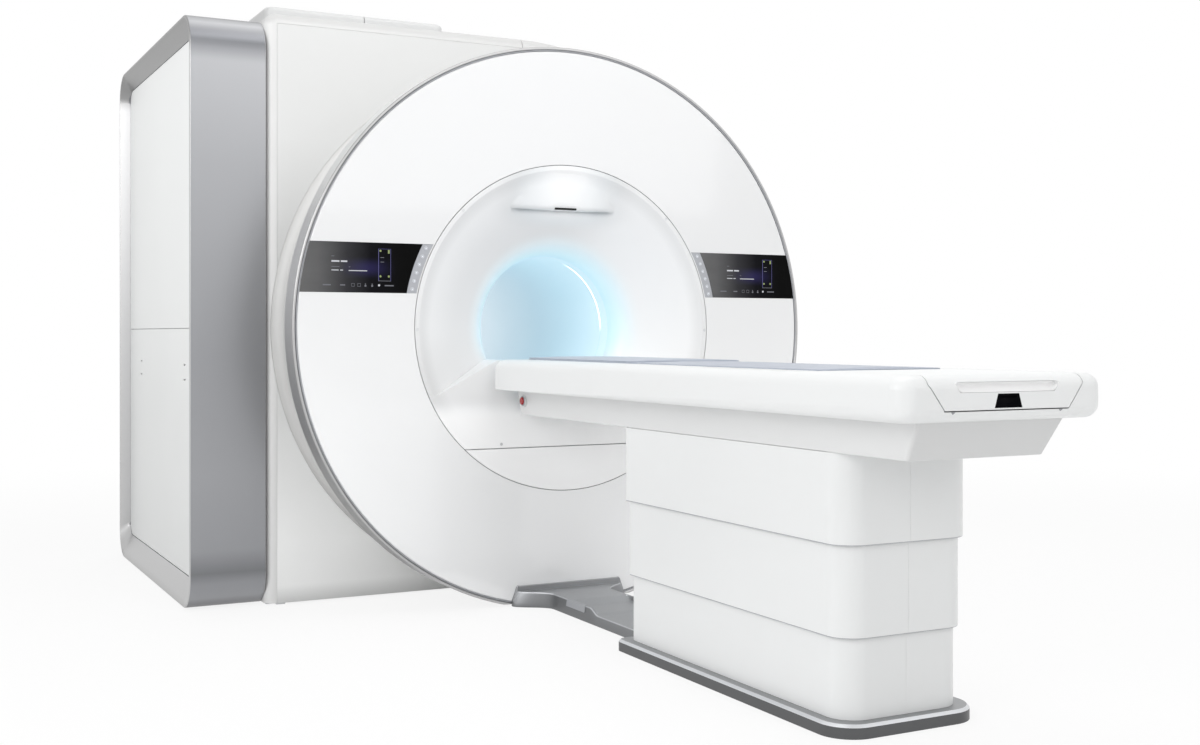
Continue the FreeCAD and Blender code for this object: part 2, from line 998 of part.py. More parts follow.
def camera_window():
    """The smoked window of the patient camera at the brow's lower edge."""
    half = s.camera_half_width
    body = new_body("camera_window", z=s.isocentre_height + s.brow_drop)
    front = disc_front + s.brow_depth - 1
    add_prism(
        body,
        "front",
        front,
        s.camera_depth + 1 - s.fit_gap,
        rounded(-half, 0, half, s.camera_height, 2),
    )
    lens = s.camera_height / 2
    cut_rounds(body, "front", front, 2, [(0, lens, lens * 0.6)])


def screw_spots():
    """The places of the bezel screws, three on each side, from the isocentre."""
    diagonal = s.screw_circle / root(as_size(2))
    low = s.bezel_seam - 17
    spots = []
    for hand in (-1, 1):
        spots += [
            (hand * diagonal, diagonal),
            (hand * s.screw_circle, as_size(-9)),
            (hand * (s.shelf_half_width - 19), -low),
        ]
    return spots


def bezel_screws():
    """The countersunk screws that hold the bezel to the ring behind it."""
    body = gantry_body("bezel_screws")
    spots = screw_spots()
    head = s.screw_head_depth
    add_rounds(body, "front", disc_front, head, [(x, z, s.screw_head) for x, z in spots])
    length = s.bezel_wall - head
    add_rounds(body, "front", disc_front + head, length, [(x, z, s.screw_shank) for x, z in spots])
    cut_rounds(body, "front", disc_front, head / 2, [(x, z, s.screw_shank) for x, z in spots])


def rear_bezel():
    """The bell mouth at the back of the bore."""
    body = gantry_body("rear_bezel")
    outer = s.rear_bezel_radius
    add_turned(
        body,
        flare(1, s.rear_reach, s.throat_reach, s.rear_flare_angle, outer, s.bezel_wall),
    )


# -------------------------------------------------------------------------- front covers
def display_corners(hand, inner, outer, low, high):
    """A sector strip of the disc between two heights, on one side."""
    path = [
        (chord(inner, low), low),
        (chord(outer, low), low, outer, "left"),
        (chord(outer, high), high),
        (chord(inner, high), high, inner, "right"),
    ]
    return handed(path, hand)


def handed(path, hand):
    """A path of the right side, or its mirror image on the left."""
    if hand > 0:
        return path
    flip = {"left": "right", "right": "left"}
    return [(-c[0], c[1]) + ((c[2], flip[c[3]]) if len(c) == 4 else ()) for c in path]


def backward(path):
    """The same open path walked the other way."""
    flip = {"left": "right", "right": "left"}
    result = []
    for i in range(len(path) - 1, -1, -1):
        point = tuple(path[i][:2])
        if i > 0 and len(path[i - 1]) == 4:
            point += (path[i - 1][2], flip[path[i - 1][3]])
        result.append(point)
    return result


def front_disc_cover():
    """The round front cover with its softened edge and a recess for each display strip."""
    body = gantry_body("front_disc_cover")
    inner = s.bezel_radius + s.seam_gap / 2
    edge = s.disc_edge
    add_turned(
        body,
        [
            (disc_front, inner),
            (disc_back, inner),
            (disc_back, s.disc_radius),
            (disc_front + edge, s.disc_radius),
            (disc_front, s.disc_radius - edge),
        ],
    )
    cut_to_floor(body)
    for hand in (-1, 1):
        strip = display_corners(
            hand, s.keypad_inner, s.display_outer, s.display_low, s.display_high
        )
        cut_prism(body, "front", disc_front, s.display_depth, strip)


def display(name, hand):
    """A glass display panel that follows the disc's curve."""
    body = gantry_body(name)
    gap = s.fit_gap
    strip = display_corners(
        hand,
        s.display_inner,
        s.display_outer - gap,
        s.display_low + gap,
        s.display_high - gap,
    )
    add_prism(body, "front", disc_front, s.display_depth - gap, strip)


def keypad(name, hand):
    """The key strip beside a display, with its column of keys."""
    body = gantry_body(name)
    gap = s.fit_gap
    strip = display_corners(
        hand,
        s.keypad_inner + gap,
        s.display_inner - gap,
        s.display_low + gap,
        s.display_high - gap,
    )
    add_prism(body, "front", disc_front + 1, s.display_depth - gap - 1, strip)
    middle = (s.keypad_inner + s.display_inner) / 2
    pitch = (s.display_high - s.display_low) / 6
    keys = []
    for i in range(6):
        level = s.display_low + pitch * (i + 0.5)
        keys.append((hand * chord(middle, level), level, as_size(8)))
    add_rounds(body, "front", disc_front, 1.5, keys)


def rim_ring():
    """The metal rim round the disc, with a flange behind that takes the collar."""
    body = gantry_body("rim_ring")
    inner = s.rim_radius - s.rim_wall
    back = disc_front + s.rim_depth
    flange = s.collar_radius + s.fit_gap
    edge = s.disc_edge
    add_turned(
        body,
        [
            (disc_front, inner + edge),
            (disc_front + edge, inner),
            (back - s.rim_flange, inner),
            (back - s.rim_flange, flange),
            (back, flange),
            (back, s.rim_radius),
            (disc_front + edge, s.rim_radius),
            (disc_front, s.rim_radius - edge),
        ],
    )
    cut_to_floor(body)


def collar_cover():
    """The drum between rim and enclosure, coved outward where it meets the enclosure."""
    body = gantry_body("collar_cover")
    front = disc_front + s.rim_depth - s.rim_flange * 2
    outer = s.collar_radius
    inner = outer - s.cover_wall
    face = -s.body_reach
    back = face + s.cover_wall - s.fit_gap
    cove = s.cove_radius
    add_turned(
        body,
        [
            (front, inner),
            (back, inner),
            (back, outer + cove),
            (face, outer + cove, cove, "right"),
            (face - cove, outer),
            (front, outer),
        ],
    )
    cut_to_floor(body)


def front_cover_frame():
    """The wheel that carries the front covers: two rings, spokes and posts to the vessel."""
    body = gantry_body("front_cover_frame")
    front = disc_back + s.fit_gap
    back = front + s.ring_depth
    outer = s.rim_radius - s.rim_wall - s.fit_gap
    seat = bezel_back + s.fit_gap
    hub = lip_radius - 16
    add_turned(body, rectangle(front, outer - s.outer_ring_width, back, outer))
    step = lip_radius - 3
    add_turned(
        body,
        [
            (seat, hub),
            (back, hub),
            (back, hub + s.inner_ring_width),
            (front, hub + s.inner_ring_width),
            (front, step),
            (seat, step),
        ],
    )
    half = s.arm_width / 2
    start = hub + s.inner_ring_width / 2
    arm = add_prism(
        body,
        "front",
        front,
        s.ring_depth,
        turned_rectangle(start, outer - s.outer_ring_width / 2, half),
    )
    repeat(body, arm, "Y_Axis", s.arm_count)
    cosine_step = cosine(as_size(22.5))
    sine_step = sine(as_size(22.5))
    reach = s.front_reach - s.vessel_reach - s.disc_wall - s.fit_gap * 2
    post = add_rounds(
        body,
        "front",
        front,
        reach,
        [(s.post_circle * cosine_step, s.post_circle * sine_step, s.post_radius)],
    )
    repeat(body, post, "Y_Axis", s.arm_count)
    cut_to_floor(body)


def turned_rectangle(start, end, half):
    """A radial bar at a sixteenth of a turn above the +X axis."""
    across = cosine(as_size(22.5))
    up = sine(as_size(22.5))
    return [
        (start * across + half * up, start * up - half * across),
        (end * across + half * up, end * up - half * across),
        (end * across - half * up, end * up + half * across),
        (start * across - half * up, start * up + half * across),
    ]


# ----------------------------------------------------------------------------- enclosure
def envelope(inset, floor):
    """The enclosure's outline from the bottom left over the crown to the bottom right."""
    inset = as_size(inset)
    left = inset - s.body_left
    top = s.body_radius - inset
    path = [(left, floor)]
    if inset.number < s.corner_round.number - 1:
        corner = s.corner_round - inset
        path += [(left, top - corner, corner, "right"), (left + corner, top)]
    else:
        path += [(left, top)]
    return path + [(0, top, top, "right"), (top, 0), (top, floor)]


def enclosure_shell():
    """The hollow enclosure with rounded edges, open in front, behind and below."""
    floor = s.floor_gap - s.isocentre_height
    depth = s.body_reach + s.rear_reach
    wall = s.cover_wall
    below = floor - 20
    outside = gantry_body("enclosure_outside", piece=False)
    add_prism(outside, "front", -s.body_reach, depth, envelope(0, floor))
    finish_edges(
        outside,
        "Fillet",
        s.edge_round,
        lambda e: (flat_in(e, "Y", -s.body_reach) or flat_in(e, "Y", s.rear_reach))
        and not flat_in(e, "Z", floor),
    )
    inside = gantry_body("enclosure_inside", piece=False)
    add_prism(
        inside, "front", wall - s.body_reach, depth - wall * 2, envelope(wall, below)
    )
    finish_edges(
        inside,
        "Chamfer",
        (s.edge_round - wall) * 0.6,
        lambda e: (flat_in(e, "Y", wall - s.body_reach) or flat_in(e, "Y", s.rear_reach - wall))
        and not flat_in(e, "Z", below),
    )
    ends = gantry_body("enclosure_ends", piece=False)
    add_prism(
        ends, "front", -s.body_reach - 10, depth + 20, envelope(s.edge_round, below)
    )
    scoop = gantry_body("collar_scoop", piece=False)
    reach = s.collar_radius + s.cove_radius + s.joint_gap
    add_rounds(scoop, "front", -s.body_reach - 10, wall + 10, [(0, 0, reach)])
    hollow = combine("MultiFuse", "enclosure_hollow", [inside, ends, scoop])
    return combine("Cut", "enclosure_wall", [outside, hollow])


def enclosure_covers():
    """The enclosure's three skins: the left one with the turret's hatch, and two on the right."""
    shell = enclosure_shell()
    seam = s.seam_gap / 2
    reach = s.body_radius + 50
    depth = s.body_reach + s.rear_reach + 100
    start = -s.body_reach - 50
    left_zone = block("left_zone", -reach, start, 0, reach - seam, depth, crown + 50)
    hatch = block(
        "hatch",
        -s.turret_left + s.hatch_margin,
        -s.turret_front + s.hatch_margin,
        crown - 100,
        s.turret_left - s.turret_right - s.hatch_margin * 2,
        s.turret_depth - s.hatch_margin * 2,
        200,
    )
    left = combine("MultiCommon", "left_skin", [shell, left_zone])
    combine("Cut", "left_body_cover", [left, hatch], piece=True)
    split = s.isocentre_height + seam
    upper = block("upper_zone", seam, start, split, reach, depth, reach)
    combine("MultiCommon", "right_upper_cover", [shell, upper], piece=True)
    lower = block("lower_zone", seam, start, 0, reach, depth, s.isocentre_height - seam)
    combine("MultiCommon", "right_side_cover", [shell, lower], piece=True)


def body_front_panel():
    """The flat front of the enclosure round the collar, joined by a flange along its edge."""
    body = gantry_body("body_front_panel")
    floor = s.floor_gap - s.isocentre_height
    inset = s.edge_round + s.joint_gap
    add_prism(body, "front", -s.body_reach, s.cover_wall, envelope(inset, floor))
    hole = s.collar_radius + s.cove_radius + s.joint_gap
    cut_rounds(body, "front", -s.body_reach - 5, s.cover_wall + 10, [(0, 0, hole)])
    flange = envelope(inset, floor) + backward(envelope(inset + 40, floor))
    add_prism(body, "front", s.cover_wall - s.body_reach, s.cover_wall / 2, flange)


def body_rear_panel():
    """The flat back of the enclosure round the rear bezel."""
    body = gantry_body("body_rear_panel")
    floor = s.floor_gap - s.isocentre_height
    inset = s.edge_round + s.joint_gap
    start = s.rear_reach - s.cover_wall
    add_prism(body, "front", start, s.cover_wall, envelope(inset, floor))
    hole = s.rear_bezel_radius + s.seam_gap
    cut_rounds(body, "front", start - 5, s.cover_wall + 10, [(0, 0, hole)])


def arch(body, start, depth, outer, inner):
    """A portal that follows the enclosure's outline and stands on the floor."""
    floor = -s.isocentre_height
    path = envelope(outer, floor) + backward(envelope(inner, floor))
    add_prism(body, "front", start, depth, path)


def body_frames():
    """The two portals inside the enclosure, each with a nose that takes the end panel."""
    outer = s.cover_wall + s.fit_gap
    nose = s.edge_round + s.joint_gap + 2
    inner = nose + s.frame_width * 0.7
    front = gantry_body("body_frame_front")
    main = s.edge_round + s.fit_gap - s.body_reach
    arch(front, main, s.frame_depth, outer, inner)
    seat = s.cover_wall * 1.5 + s.fit_gap - s.body_reach
    arch(front, seat, main - seat, nose, inner)
    rear = gantry_body("body_frame_rear")
    main = s.rear_reach - s.edge_round - s.fit_gap - s.frame_depth
    arch(rear, main, s.frame_depth, outer, inner)
    seat = s.rear_reach - s.cover_wall - s.fit_gap
    nose_start = main + s.frame_depth
    arch(rear, nose_start, seat - nose_start, nose, inner)


def turret_cover(name, left, right, open_side):
    """One half of the service turret, a cap that is open below and toward the other half."""
    base = crown + s.fit_gap
    body = new_body(name, z=base)
    front = -s.turret_front
    back = front + s.turret_depth
    height = s.turret_height
    add_prism(body, "plan", 0, height, rectangle(left, front, right, back))
    far = left if open_side == "right" else right
    finish_edges(
        body,
        "Fillet",
        s.turret_round,
        lambda e: flat_in(e, "X", far) and not flat_in(e, "Z", 0) and not flat_in(e, "Z", height),
    )
    finish_edges(
        body,
        "Fillet",
        s.turret_round / 2,
        lambda e: flat_in(e, "Z", height) and not flat_in(e, "X", left if far is right else right),
    )
    wall = s.turret_wall
    low = left + wall * 2 if open_side == "right" else left - 5
    high = right + 5 if open_side == "right" else right - wall * 2
    cut_prism(
        body,
        "plan",
        -5,
        height - wall + 5 - wall,
        rectangle(low, front + wall * 2, high, back - wall * 2),
    )


def turret_covers():
    seam = s.seam_gap / 2
    turret_cover("turret_cover_left", -s.turret_left, -s.turret_seam - seam, "right")
    turret_cover("turret_cover_right", -s.turret_seam + seam, -s.turret_right, "left")


# ------------------------------------------------------------------------------- cabinet
panel_face = s.band_bevel + s.panel_recess - s.cabinet_left
opening_front = s.band_front - s.body_reach
opening_rear = s.rear_reach - s.band_front
opening_low = s.band_edge + 28
opening_high = s.cabinet_height - s.band_edge


def cabinet_band():
    """The metal band that wraps the cabinet: front, top, back and bottom, with a border that
    slopes inward to the side panels."""
    body = new_body("cabinet_band")
    wall = s.panel_wall
    width = s.cabinet_left - s.body_left - s.fit_gap
    r = s.cabinet_round
    add_prism(
        body,
        "side",
        -s.cabinet_left,
        width,
        rounded(-s.body_reach, 0, s.rear_reach, s.cabinet_height, r),
    )
    cut_prism(
        body,
        "side",
        s.band_bevel + wall - s.cabinet_left,
        width,
        rounded(
            wall - s.body_reach, wall, s.rear_reach - wall, s.cabinet_height - wall, r - wall
        ),
    )
    finish_edges(
        body,
        "Fillet",
        s.band_lip * 0.6,
        lambda e: flat_in(e, "X", -s.cabinet_left),
    )
    opening = rounded(opening_front, opening_low, opening_rear, opening_high, s.band_edge - 12)
    cut_prism(body, "side", -s.cabinet_left - 5, s.band_bevel + wall + 10, opening)
    lip = s.band_lip
    mouth = new_sketch(body, "side", -s.cabinet_left)
    draw(
        mouth,
        rounded(
            lip * 1.5 - s.body_reach, lip, s.rear_reach - lip, s.cabinet_height - lip, r - lip
        ),
    )
    throat = new_sketch(body, "side", s.band_bevel - s.cabinet_left)
    draw(throat, opening)
    bevel = body.newObject("PartDesign::SubtractiveLoft", "bevel")
    bevel.Profile = mouth
    bevel.Sections = [throat]
    bevel.Ruled = True


def cabinet_upper_panel():
    """The upper side panel of the cabinet."""
    body = new_body("cabinet_upper_panel")
    gap = s.panel_gap
    r = s.band_edge - 12 - gap
    add_prism(
        body,
        "side",
        panel_face,
        s.panel_wall,
        rounded(
            opening_front + gap,
            s.panel_seam + gap / 2,
            opening_rear - gap,
            opening_high - gap,
            [as_size(2), as_size(2), r, r],
        ),
    )


def cabinet_lower_panel():
    """The lower side panel of the cabinet with its four vent slots."""
    body = new_body("cabinet_lower_panel")
    gap = s.panel_gap
    r = s.band_edge - 12 - gap
    start = panel_face
    add_prism(
        body,
        "side",
        start,
        s.panel_wall,
        rounded(
            opening_front + gap,
            opening_low + gap,
            opening_rear - gap,
            s.panel_seam - gap / 2,
            [r, r, as_size(2), as_size(2)],
        ),
    )
    half = s.slot_length / 2
    high = s.slot_height / 2
    for station in (-s.slot_front, s.slot_rear):
        for level in (s.slot_low, s.slot_high):
            cut_prism(
                body,
                "side",
                start - 5,
                s.panel_wall + 10,
                rounded(
                    station - half, level - high, station + half, level + high, high - 0.5
                ),
            )


def cabinet_frame():
    """The rack inside the cabinet: two rings, joined by cross rails, on four feet."""
    body = new_body("cabinet_frame")
    tube = s.rack_tube
    left = panel_face + s.panel_wall + s.fit_gap
    right = -s.body_left - tube * 1.5
    front = opening_front + 20
    rear = opening_rear - 20
    low = opening_low + 20
    high = opening_high - 20
    for start in (left, right):
        add_prism(body, "side", start, tube, rectangle(front, low, rear, high))
        cut_prism(
            body,
            "side",
            start,
            tube,
            rectangle(front + tube, low + tube, rear - tube, high - tube),
        )
        add_prism(
            body,
            "side",
            start,
            tube,
            rectangle(front, s.panel_seam - tube / 2, rear, s.panel_seam + tube / 2),
        )
        for station in (front + tube * 2, rear - tube * 3):
            add_prism(
                body,
                "side",
                start,
                tube,
                rectangle(station, s.panel_wall + s.fit_gap, station + tube, low + tube / 2),
            )
    for level in (low, high - tube):
        for station in (front, rear - tube):
            add_prism(
                body,
                "side",
                left,
                right - left + tube,
                rectangle(station, level, station + tube, level + tube),
            )


def cabinet_modules():
    """Equipment modules on one mounting plate against the rack's inner ring."""
    body = new_body("cabinet_modules")
    plate = 10
    right = -s.body_left - s.rack_tube * 1.5 - s.fit_gap
    front = opening_front + 40
    rear = opening_rear - 40
    low = opening_low + 100
    add_prism(
        body,
        "side",
        right - plate,
        plate,
        rectangle(front, low, rear, low + s.module_height * 4.2),
    )
    depth = 110
    for i in range(4):
        start = low + s.module_height * 1.05 * i + 10
        add_prism(
            body,
            "side",
            right - plate - depth,
            depth,
            rectangle(front + 60, start, rear - 60, start + s.module_height * 0.85),
        )


# ------------------------------------------------------------------- floor tray and base
def tray_path(inset):
    """The right half of the tray's plan outline, from the table's base to the gantry."""
    start = s.plate_dock - s.fit_gap
    neck = s.front_reach + s.tray_neck
    return [
        (s.tray_half_width - inset, -start),
        (s.tray_half_width - inset, -neck),
        (s.tray_flare - inset, disc_front - s.fit_gap),
    ]


def floor_tray():
    """The cable tray on the floor between table and gantry, with raised lips."""
    body = new_body("floor_tray")
    high = s.lip_rear + 20
    outline = tray_path(0) + backward(handed(tray_path(0), -1))
    add_prism(body, "plan", 0, high, outline)
    wall = s.tray_wall * 2
    trough = tray_path(wall) + backward(handed(tray_path(wall), -1))
    trough[0] = (trough[0][0], -s.plate_dock - 10)
    trough[-1] = (trough[-1][0], -s.plate_dock - 10)
    trough[2] = (trough[2][0], disc_front + 10)
    trough[3] = (trough[3][0], disc_front + 10)
    cut_prism(body, "plan", s.tray_floor, high, trough)
    step = s.front_reach + s.lip_step
    side = s.tray_flare + 20
    cut_prism(
        body,
        "side",
        -side,
        side * 2,
        [
            (disc_front + 20, high),
            (disc_front - s.tray_neck / 2, s.lip_rear),
            (-step, s.lip_rear),
            (-step - 40, s.lip_front),
            (-s.plate_dock - 20, s.lip_front),
            (-s.plate_dock - 20, high + 20),
            (disc_front + 20, high + 20),
        ],
    )
    for distance in (140, 284, 483, 650):
        station = disc_front - distance
        cut_prism(
            body,
            "side",
            -s.tray_half_width + wall,
            (s.tray_half_width - wall) * 2,
            rectangle(station - 3, s.tray_floor - 3, station + 3, s.tray_floor + 1),
        )
    low = disc_front - s.insert_end
    high_end = disc_front - s.insert_start
    edge = s.tray_half_width - s.tray_wall / 2
    cut_prism(
        body,
        "plan",
        s.lip_rear - 6,
        20,
        rectangle(-edge, low, -edge + s.tray_wall, high_end),
    )


def tray_lip_insert():
    """The light insert in the tray's left lip."""
    body = new_body("tray_lip_insert", z=s.lip_rear - 6)
    gap = s.fit_gap
    low = disc_front - s.insert_end + gap
    high = disc_front - s.insert_start - gap
    edge = s.tray_half_width - s.tray_wall / 2 - gap
    add_prism(
        body,
        "plan",
        gap,
        6 - gap,
        rectangle(-edge, low, -edge + s.tray_wall - gap * 2, high),
    )


def base_plate():
    """The table's floor plate with a chamfered rim and four anchor holes."""
    body = new_body("base_plate")
    half = s.plate_half_width
    r = s.plate_corner
    add_prism(
        body,
        "plan",
        0,
        s.plate_height,
        rounded(-half, -s.plate_near, half, -s.plate_dock, [r, r, r / 3, r / 3]),
    )
    finish_edges(body, "Chamfer", s.plate_chamfer, lambda e: flat_in(e, "Z", s.plate_height))
    middle = -(s.plate_near + s.plate_dock) / 2
    spots = []
    for side in (-1, 1):
        for end in (-1, 1):
            spots.append((side * s.anchor_spread / 2, middle + end * s.anchor_pitch / 2))
    cut_rounds(
        body, "plan", -5, s.plate_height + 10, [(x, y, s.anchor_radius) for x, y in spots]
    )
    cut_rounds(
        body,
        "plan",
        s.plate_height / 2,
        s.plate_height,
        [(x, y, s.anchor_radius * 2) for x, y in spots],
    )


# ------------------------------------------------------------------------------ pedestal
def cover_bounds(stage):
    """Half width, near end and dock end of a stage's covers; stage 0 is the upper one."""
    shrink = s.cover_step * stage
    return s.cover_half_width - shrink, s.cover_near - shrink, s.cover_dock + shrink


def half_cover(name, stage, hand, low, high):
    """One half of a stage's cover, a U-shaped skin in plan with its seam on the centre line."""
    body = new_body(name, z=low)
    half, near_end, dock_end = cover_bounds(stage)
    big = s.cover_corner
    small = s.cover_corner_dock
    seam = s.fit_gap / 2

    def skin(inset):
        return [
            (seam, inset - near_end),
            (half - big, inset - near_end, big - inset, "left"),
            (half - inset, big - near_end),
            (half - inset, -dock_end - small, small - inset, "left"),
            (half - small, -dock_end - inset),
            (seam, -dock_end - inset),
        ]

    path = skin(0) + backward(skin(s.cover_shell))
    add_prism(body, "plan", 0, high - low, handed(path, hand))


def pedestal_covers():
    """The telescoping covers: three stages of two halves, widest at the top."""
    lap = s.cover_overlap
    stages = [
        ("lower", 2, s.plate_height + s.fit_gap, s.middle_cover_bottom + lap),
        ("middle", 1, s.middle_cover_bottom, s.upper_cover_bottom + lap),
        ("upper", 0, s.upper_cover_bottom, s.beam_bottom - s.fit_gap),
    ]
    for word, stage, low, high in stages:
        half_cover(f"{word}_cover_left", stage, -1, low, high)
        half_cover(f"{word}_cover_right", stage, 1, low, high)


def tie_outline(stage):
    """The plate that joins a stage's columns and reaches its covers all round."""
    half, near_end, dock_end = cover_bounds(stage)
    inset = s.cover_shell + s.fit_gap
    big = s.cover_corner - inset
    small = s.cover_corner_dock - inset
    return rounded(
        inset - half,
        inset - near_end,
        half - inset,
        -dock_end - inset,
        [big, big, small, small],
    )


def column_spots(radius):
    return [(0, -s.column_near, radius), (0, -s.column_dock, radius)]


def lift_columns():
    """The two telescoping lift columns, as three stages joined by plates."""
    gap = s.fit_gap
    wall = s.column_wall
    base = s.plate_height + gap
    lower = new_body("lift_column_lower", z=base)
    rail = s.column_radius * 0.7
    add_prism(
        lower,
        "plan",
        0,
        s.tie_plate,
        rectangle(-rail, -s.column_near, rail, -s.column_dock),
    )
    add_rounds(lower, "plan", 0, s.column_flange_height, column_spots(s.column_flange))
    top = s.lower_column_top - base
    add_rounds(lower, "plan", 0, top, column_spots(s.column_radius))
    cut_rounds(lower, "plan", -5, top + 10, column_spots(s.column_radius - wall))

    middle = new_body("lift_column_middle", z=s.middle_column_bottom)
    outer = s.column_radius - wall - s.running_gap
    top = s.middle_column_top - s.middle_column_bottom
    add_prism(middle, "plan", top - s.tie_plate, s.tie_plate, tie_outline(1))
    add_rounds(middle, "plan", 0, top, column_spots(outer))
    cut_rounds(middle, "plan", -5, top + 10, column_spots(outer - wall))

    upper = new_body("lift_column_upper", z=s.upper_column_bottom)
    outer = outer - wall - s.running_gap
    top = s.beam_bottom - gap - s.upper_column_bottom
    plate = s.column_flange_height
    add_prism(upper, "plan", top - plate, plate, tie_outline(0))
    add_rounds(upper, "plan", 0, top, column_spots(outer))
    cut_rounds(upper, "plan", -5, top + 5 - plate, column_spots(outer - wall))


# ------------------------------------------------------------------------- beam and drive
def table_beam():
    """The hollow beam under the tabletop, wider above, with the idler's bracket and bosses."""
    body = new_body("table_beam")
    low = s.beam_bottom
    high = beam_top
    wall = s.beam_wall
    half = s.beam_half_width
    wide = half + s.beam_flare
    length = beam_near_top - beam_dock_end
    add_prism(
        body,
        "front",
        -beam_near_top,
        length,
        [(-half, low), (half, low), (wide, high), (-wide, high)],
    )
    beyond = beam_near_top + 20
    cut_prism(
        body,
        "side",
        -wide - 10,
        wide * 2 + 20,
        [
            (-beyond, low - 10),
            (-beam_near_bottom, low - 10),
            (-beam_near_bottom, low),
            (-beam_near_top, high),
            (-beyond, high),
        ],
    )
    finish_edges(
        body,
        "Fillet",
        s.beam_corner,
        lambda e: near(e.BoundBox.ZMin, low)
        and near(e.BoundBox.ZMax, high)
        and e.BoundBox.YMax < -beam_near_bottom.number + 1,
    )
    finish_edges(
        body,
        "Fillet",
        s.beam_round,
        lambda e: flat_in(e, "Z", low) and not flat_in(e, "Y", -beam_dock_end),
    )
    for hand in (-1, 1):
        start = hand * s.stop_face if hand < 0 else s.stop_face - 40
        add_rounds(body, "side", start, 40, [(-stop_station, s.stop_level, s.stop_boss)])
    cut_prism(
        body,
        "front",
        -beam_near_bottom + wall * 2,
        beam_near_bottom - wall * 3 - beam_dock_end,
        [
            (wall * 1.5 - half, low + wall),
            (half - wall * 1.5, low + wall),
            (wide - wall * 1.5, high + 5),
            (wall * 1.5 - wide, high + 5),
        ],
    )
    cheek = s.pulley_width / 2 + 2
    for start in (-cheek - 6, cheek):
        add_prism(
            body,
            "side",
            start,
            6,
            rectangle(
                -idler_station - 30, low + wall / 2, -idler_station + 30, s.pulley_level + 14
            ),
        )
    pin = [(-idler_station, s.pulley_level, s.axle_radius)]
    add_rounds(body, "side", -cheek - 3, cheek * 2 + 6, pin)
    for hand in (-1, 1):
        depth = 10
        start = -s.stop_face - 5 if hand < 0 else s.stop_face - depth
        pit = [(-stop_station, s.stop_level, s.stop_radius + s.fit_gap)]
        cut_rounds(body, "side", start, depth + 5, pit)
        start = -s.stop_face if hand < 0 else s.stop_face - 60
        hole = [(-stop_station, s.stop_level, s.stop_stem + s.running_gap)]
        cut_rounds(body, "side", start, 60, hole)


def stop_button(name, hand):
    """A mushroom stop button on its stem."""
    face = s.stop_face - 10 + s.stop_travel + s.fit_gap
    body = new_body(name, hand * face, -stop_station, s.stop_level)
    start = as_size(0) if hand > 0 else -s.stop_height
    add_rounds(body, "side", start, s.stop_height, [(0, 0, s.stop_radius)])
    end = s.stop_height.number * hand
    finish_edges(body, "Fillet", s.stop_height * 0.35, lambda e: flat_in(e, "X", end))
    start = -s.stop_stem_length if hand > 0 else as_size(0)
    add_rounds(body, "side", start, s.stop_stem_length, [(0, 0, s.stop_stem)])


def pulley(name, station):
    """A flanged belt pulley."""
    body = new_body(name, y=-station, z=s.pulley_level)
    half = s.pulley_width / 2
    belt = s.belt_width / 2 + s.fit_gap
    bore = s.axle_radius + s.running_gap
    add_turned(
        body,
        [
            (-half, bore),
            (half, bore),
            (half, s.pulley_flange),
            (belt, s.pulley_flange),
            (belt, s.pulley_radius),
            (-belt, s.pulley_radius),
            (-belt, s.pulley_flange),
            (-half, s.pulley_flange),
        ],
        view="front",
    )


def drive_motor():
    """The cradle's drive motor with its shaft and foot."""
    body = new_body("drive_motor", y=-drive_station, z=s.pulley_level)
    start = s.pulley_width / 2 + 4
    add_rounds(body, "side", start, s.motor_length, [(0, 0, s.motor_radius)])
    shaft = s.pulley_width + 8
    add_rounds(body, "side", start - shaft, shaft, [(0, 0, s.axle_radius)])
    foot = s.beam_bottom + s.beam_wall + s.fit_gap - s.pulley_level
    add_prism(
        body,
        "side",
        start + 15,
        s.motor_length - 30,
        rectangle(-20, foot, 20, 0),
    )
    cap = s.motor_radius * 0.7
    add_rounds(body, "side", start + s.motor_length, 18, [(0, 0, cap)])


def drive_belt():
    """The belt round both pulleys, drawn taut."""
    middle = s.pulley_level
    body = new_body("drive_belt", z=middle)
    inner = s.pulley_radius + s.fit_gap
    outer = inner + s.belt_wall
    near_end = -drive_station
    far_end = -idler_station

    def loop(r):
        return [
            (near_end, -r),
            (far_end, -r, r, "left"),
            (far_end + r, 0, r, "left"),
            (far_end, r),
            (near_end, r, r, "left"),
            (near_end - r, 0, r, "left"),
        ]

    start = -s.belt_width / 2
    sketch = new_sketch(body, "side", start)
    draw(sketch, loop(outer))
    draw(sketch, loop(inner))
    extrude(body, sketch, s.belt_width)


# --------------------------------------------------------------------- tabletop and cradle
def channel(gap, top):
    """The cross section that the cradle has, grown by a gap on every side."""
    return [
        (s.cradle_keel + gap / 2, s.cradle_bottom - gap),
        (s.cradle_half_width + gap, s.cradle_shoulder - gap / 3),
        (s.cradle_half_width + gap, top),
        (-s.cradle_half_width - gap, top),
        (-s.cradle_half_width - gap, s.cradle_shoulder - gap / 3),
        (-s.cradle_keel - gap / 2, s.cradle_bottom - gap),
    ]


def lower_rounds(shape):
    """The slab's lower edges with the radii at their ends: the near end's full round goes on
    round its corners and narrows along the sides to a crisp arris at the dock end."""
    corner_end = (slab_near + s.slab_corner).number
    big = s.slab_round.number
    small = s.slab_arris.number

    def radius_at(edge, parameter):
        return big if edge.valueAt(parameter).y < corner_end + 1 else small

    edges = []
    for i, edge in enumerate(shape.Edges, 1):
        if flat_in(edge, "Z", slab_bottom):
            first = radius_at(edge, edge.FirstParameter)
            last = radius_at(edge, edge.LastParameter)
            edges.append((i, first, last))
    return edges


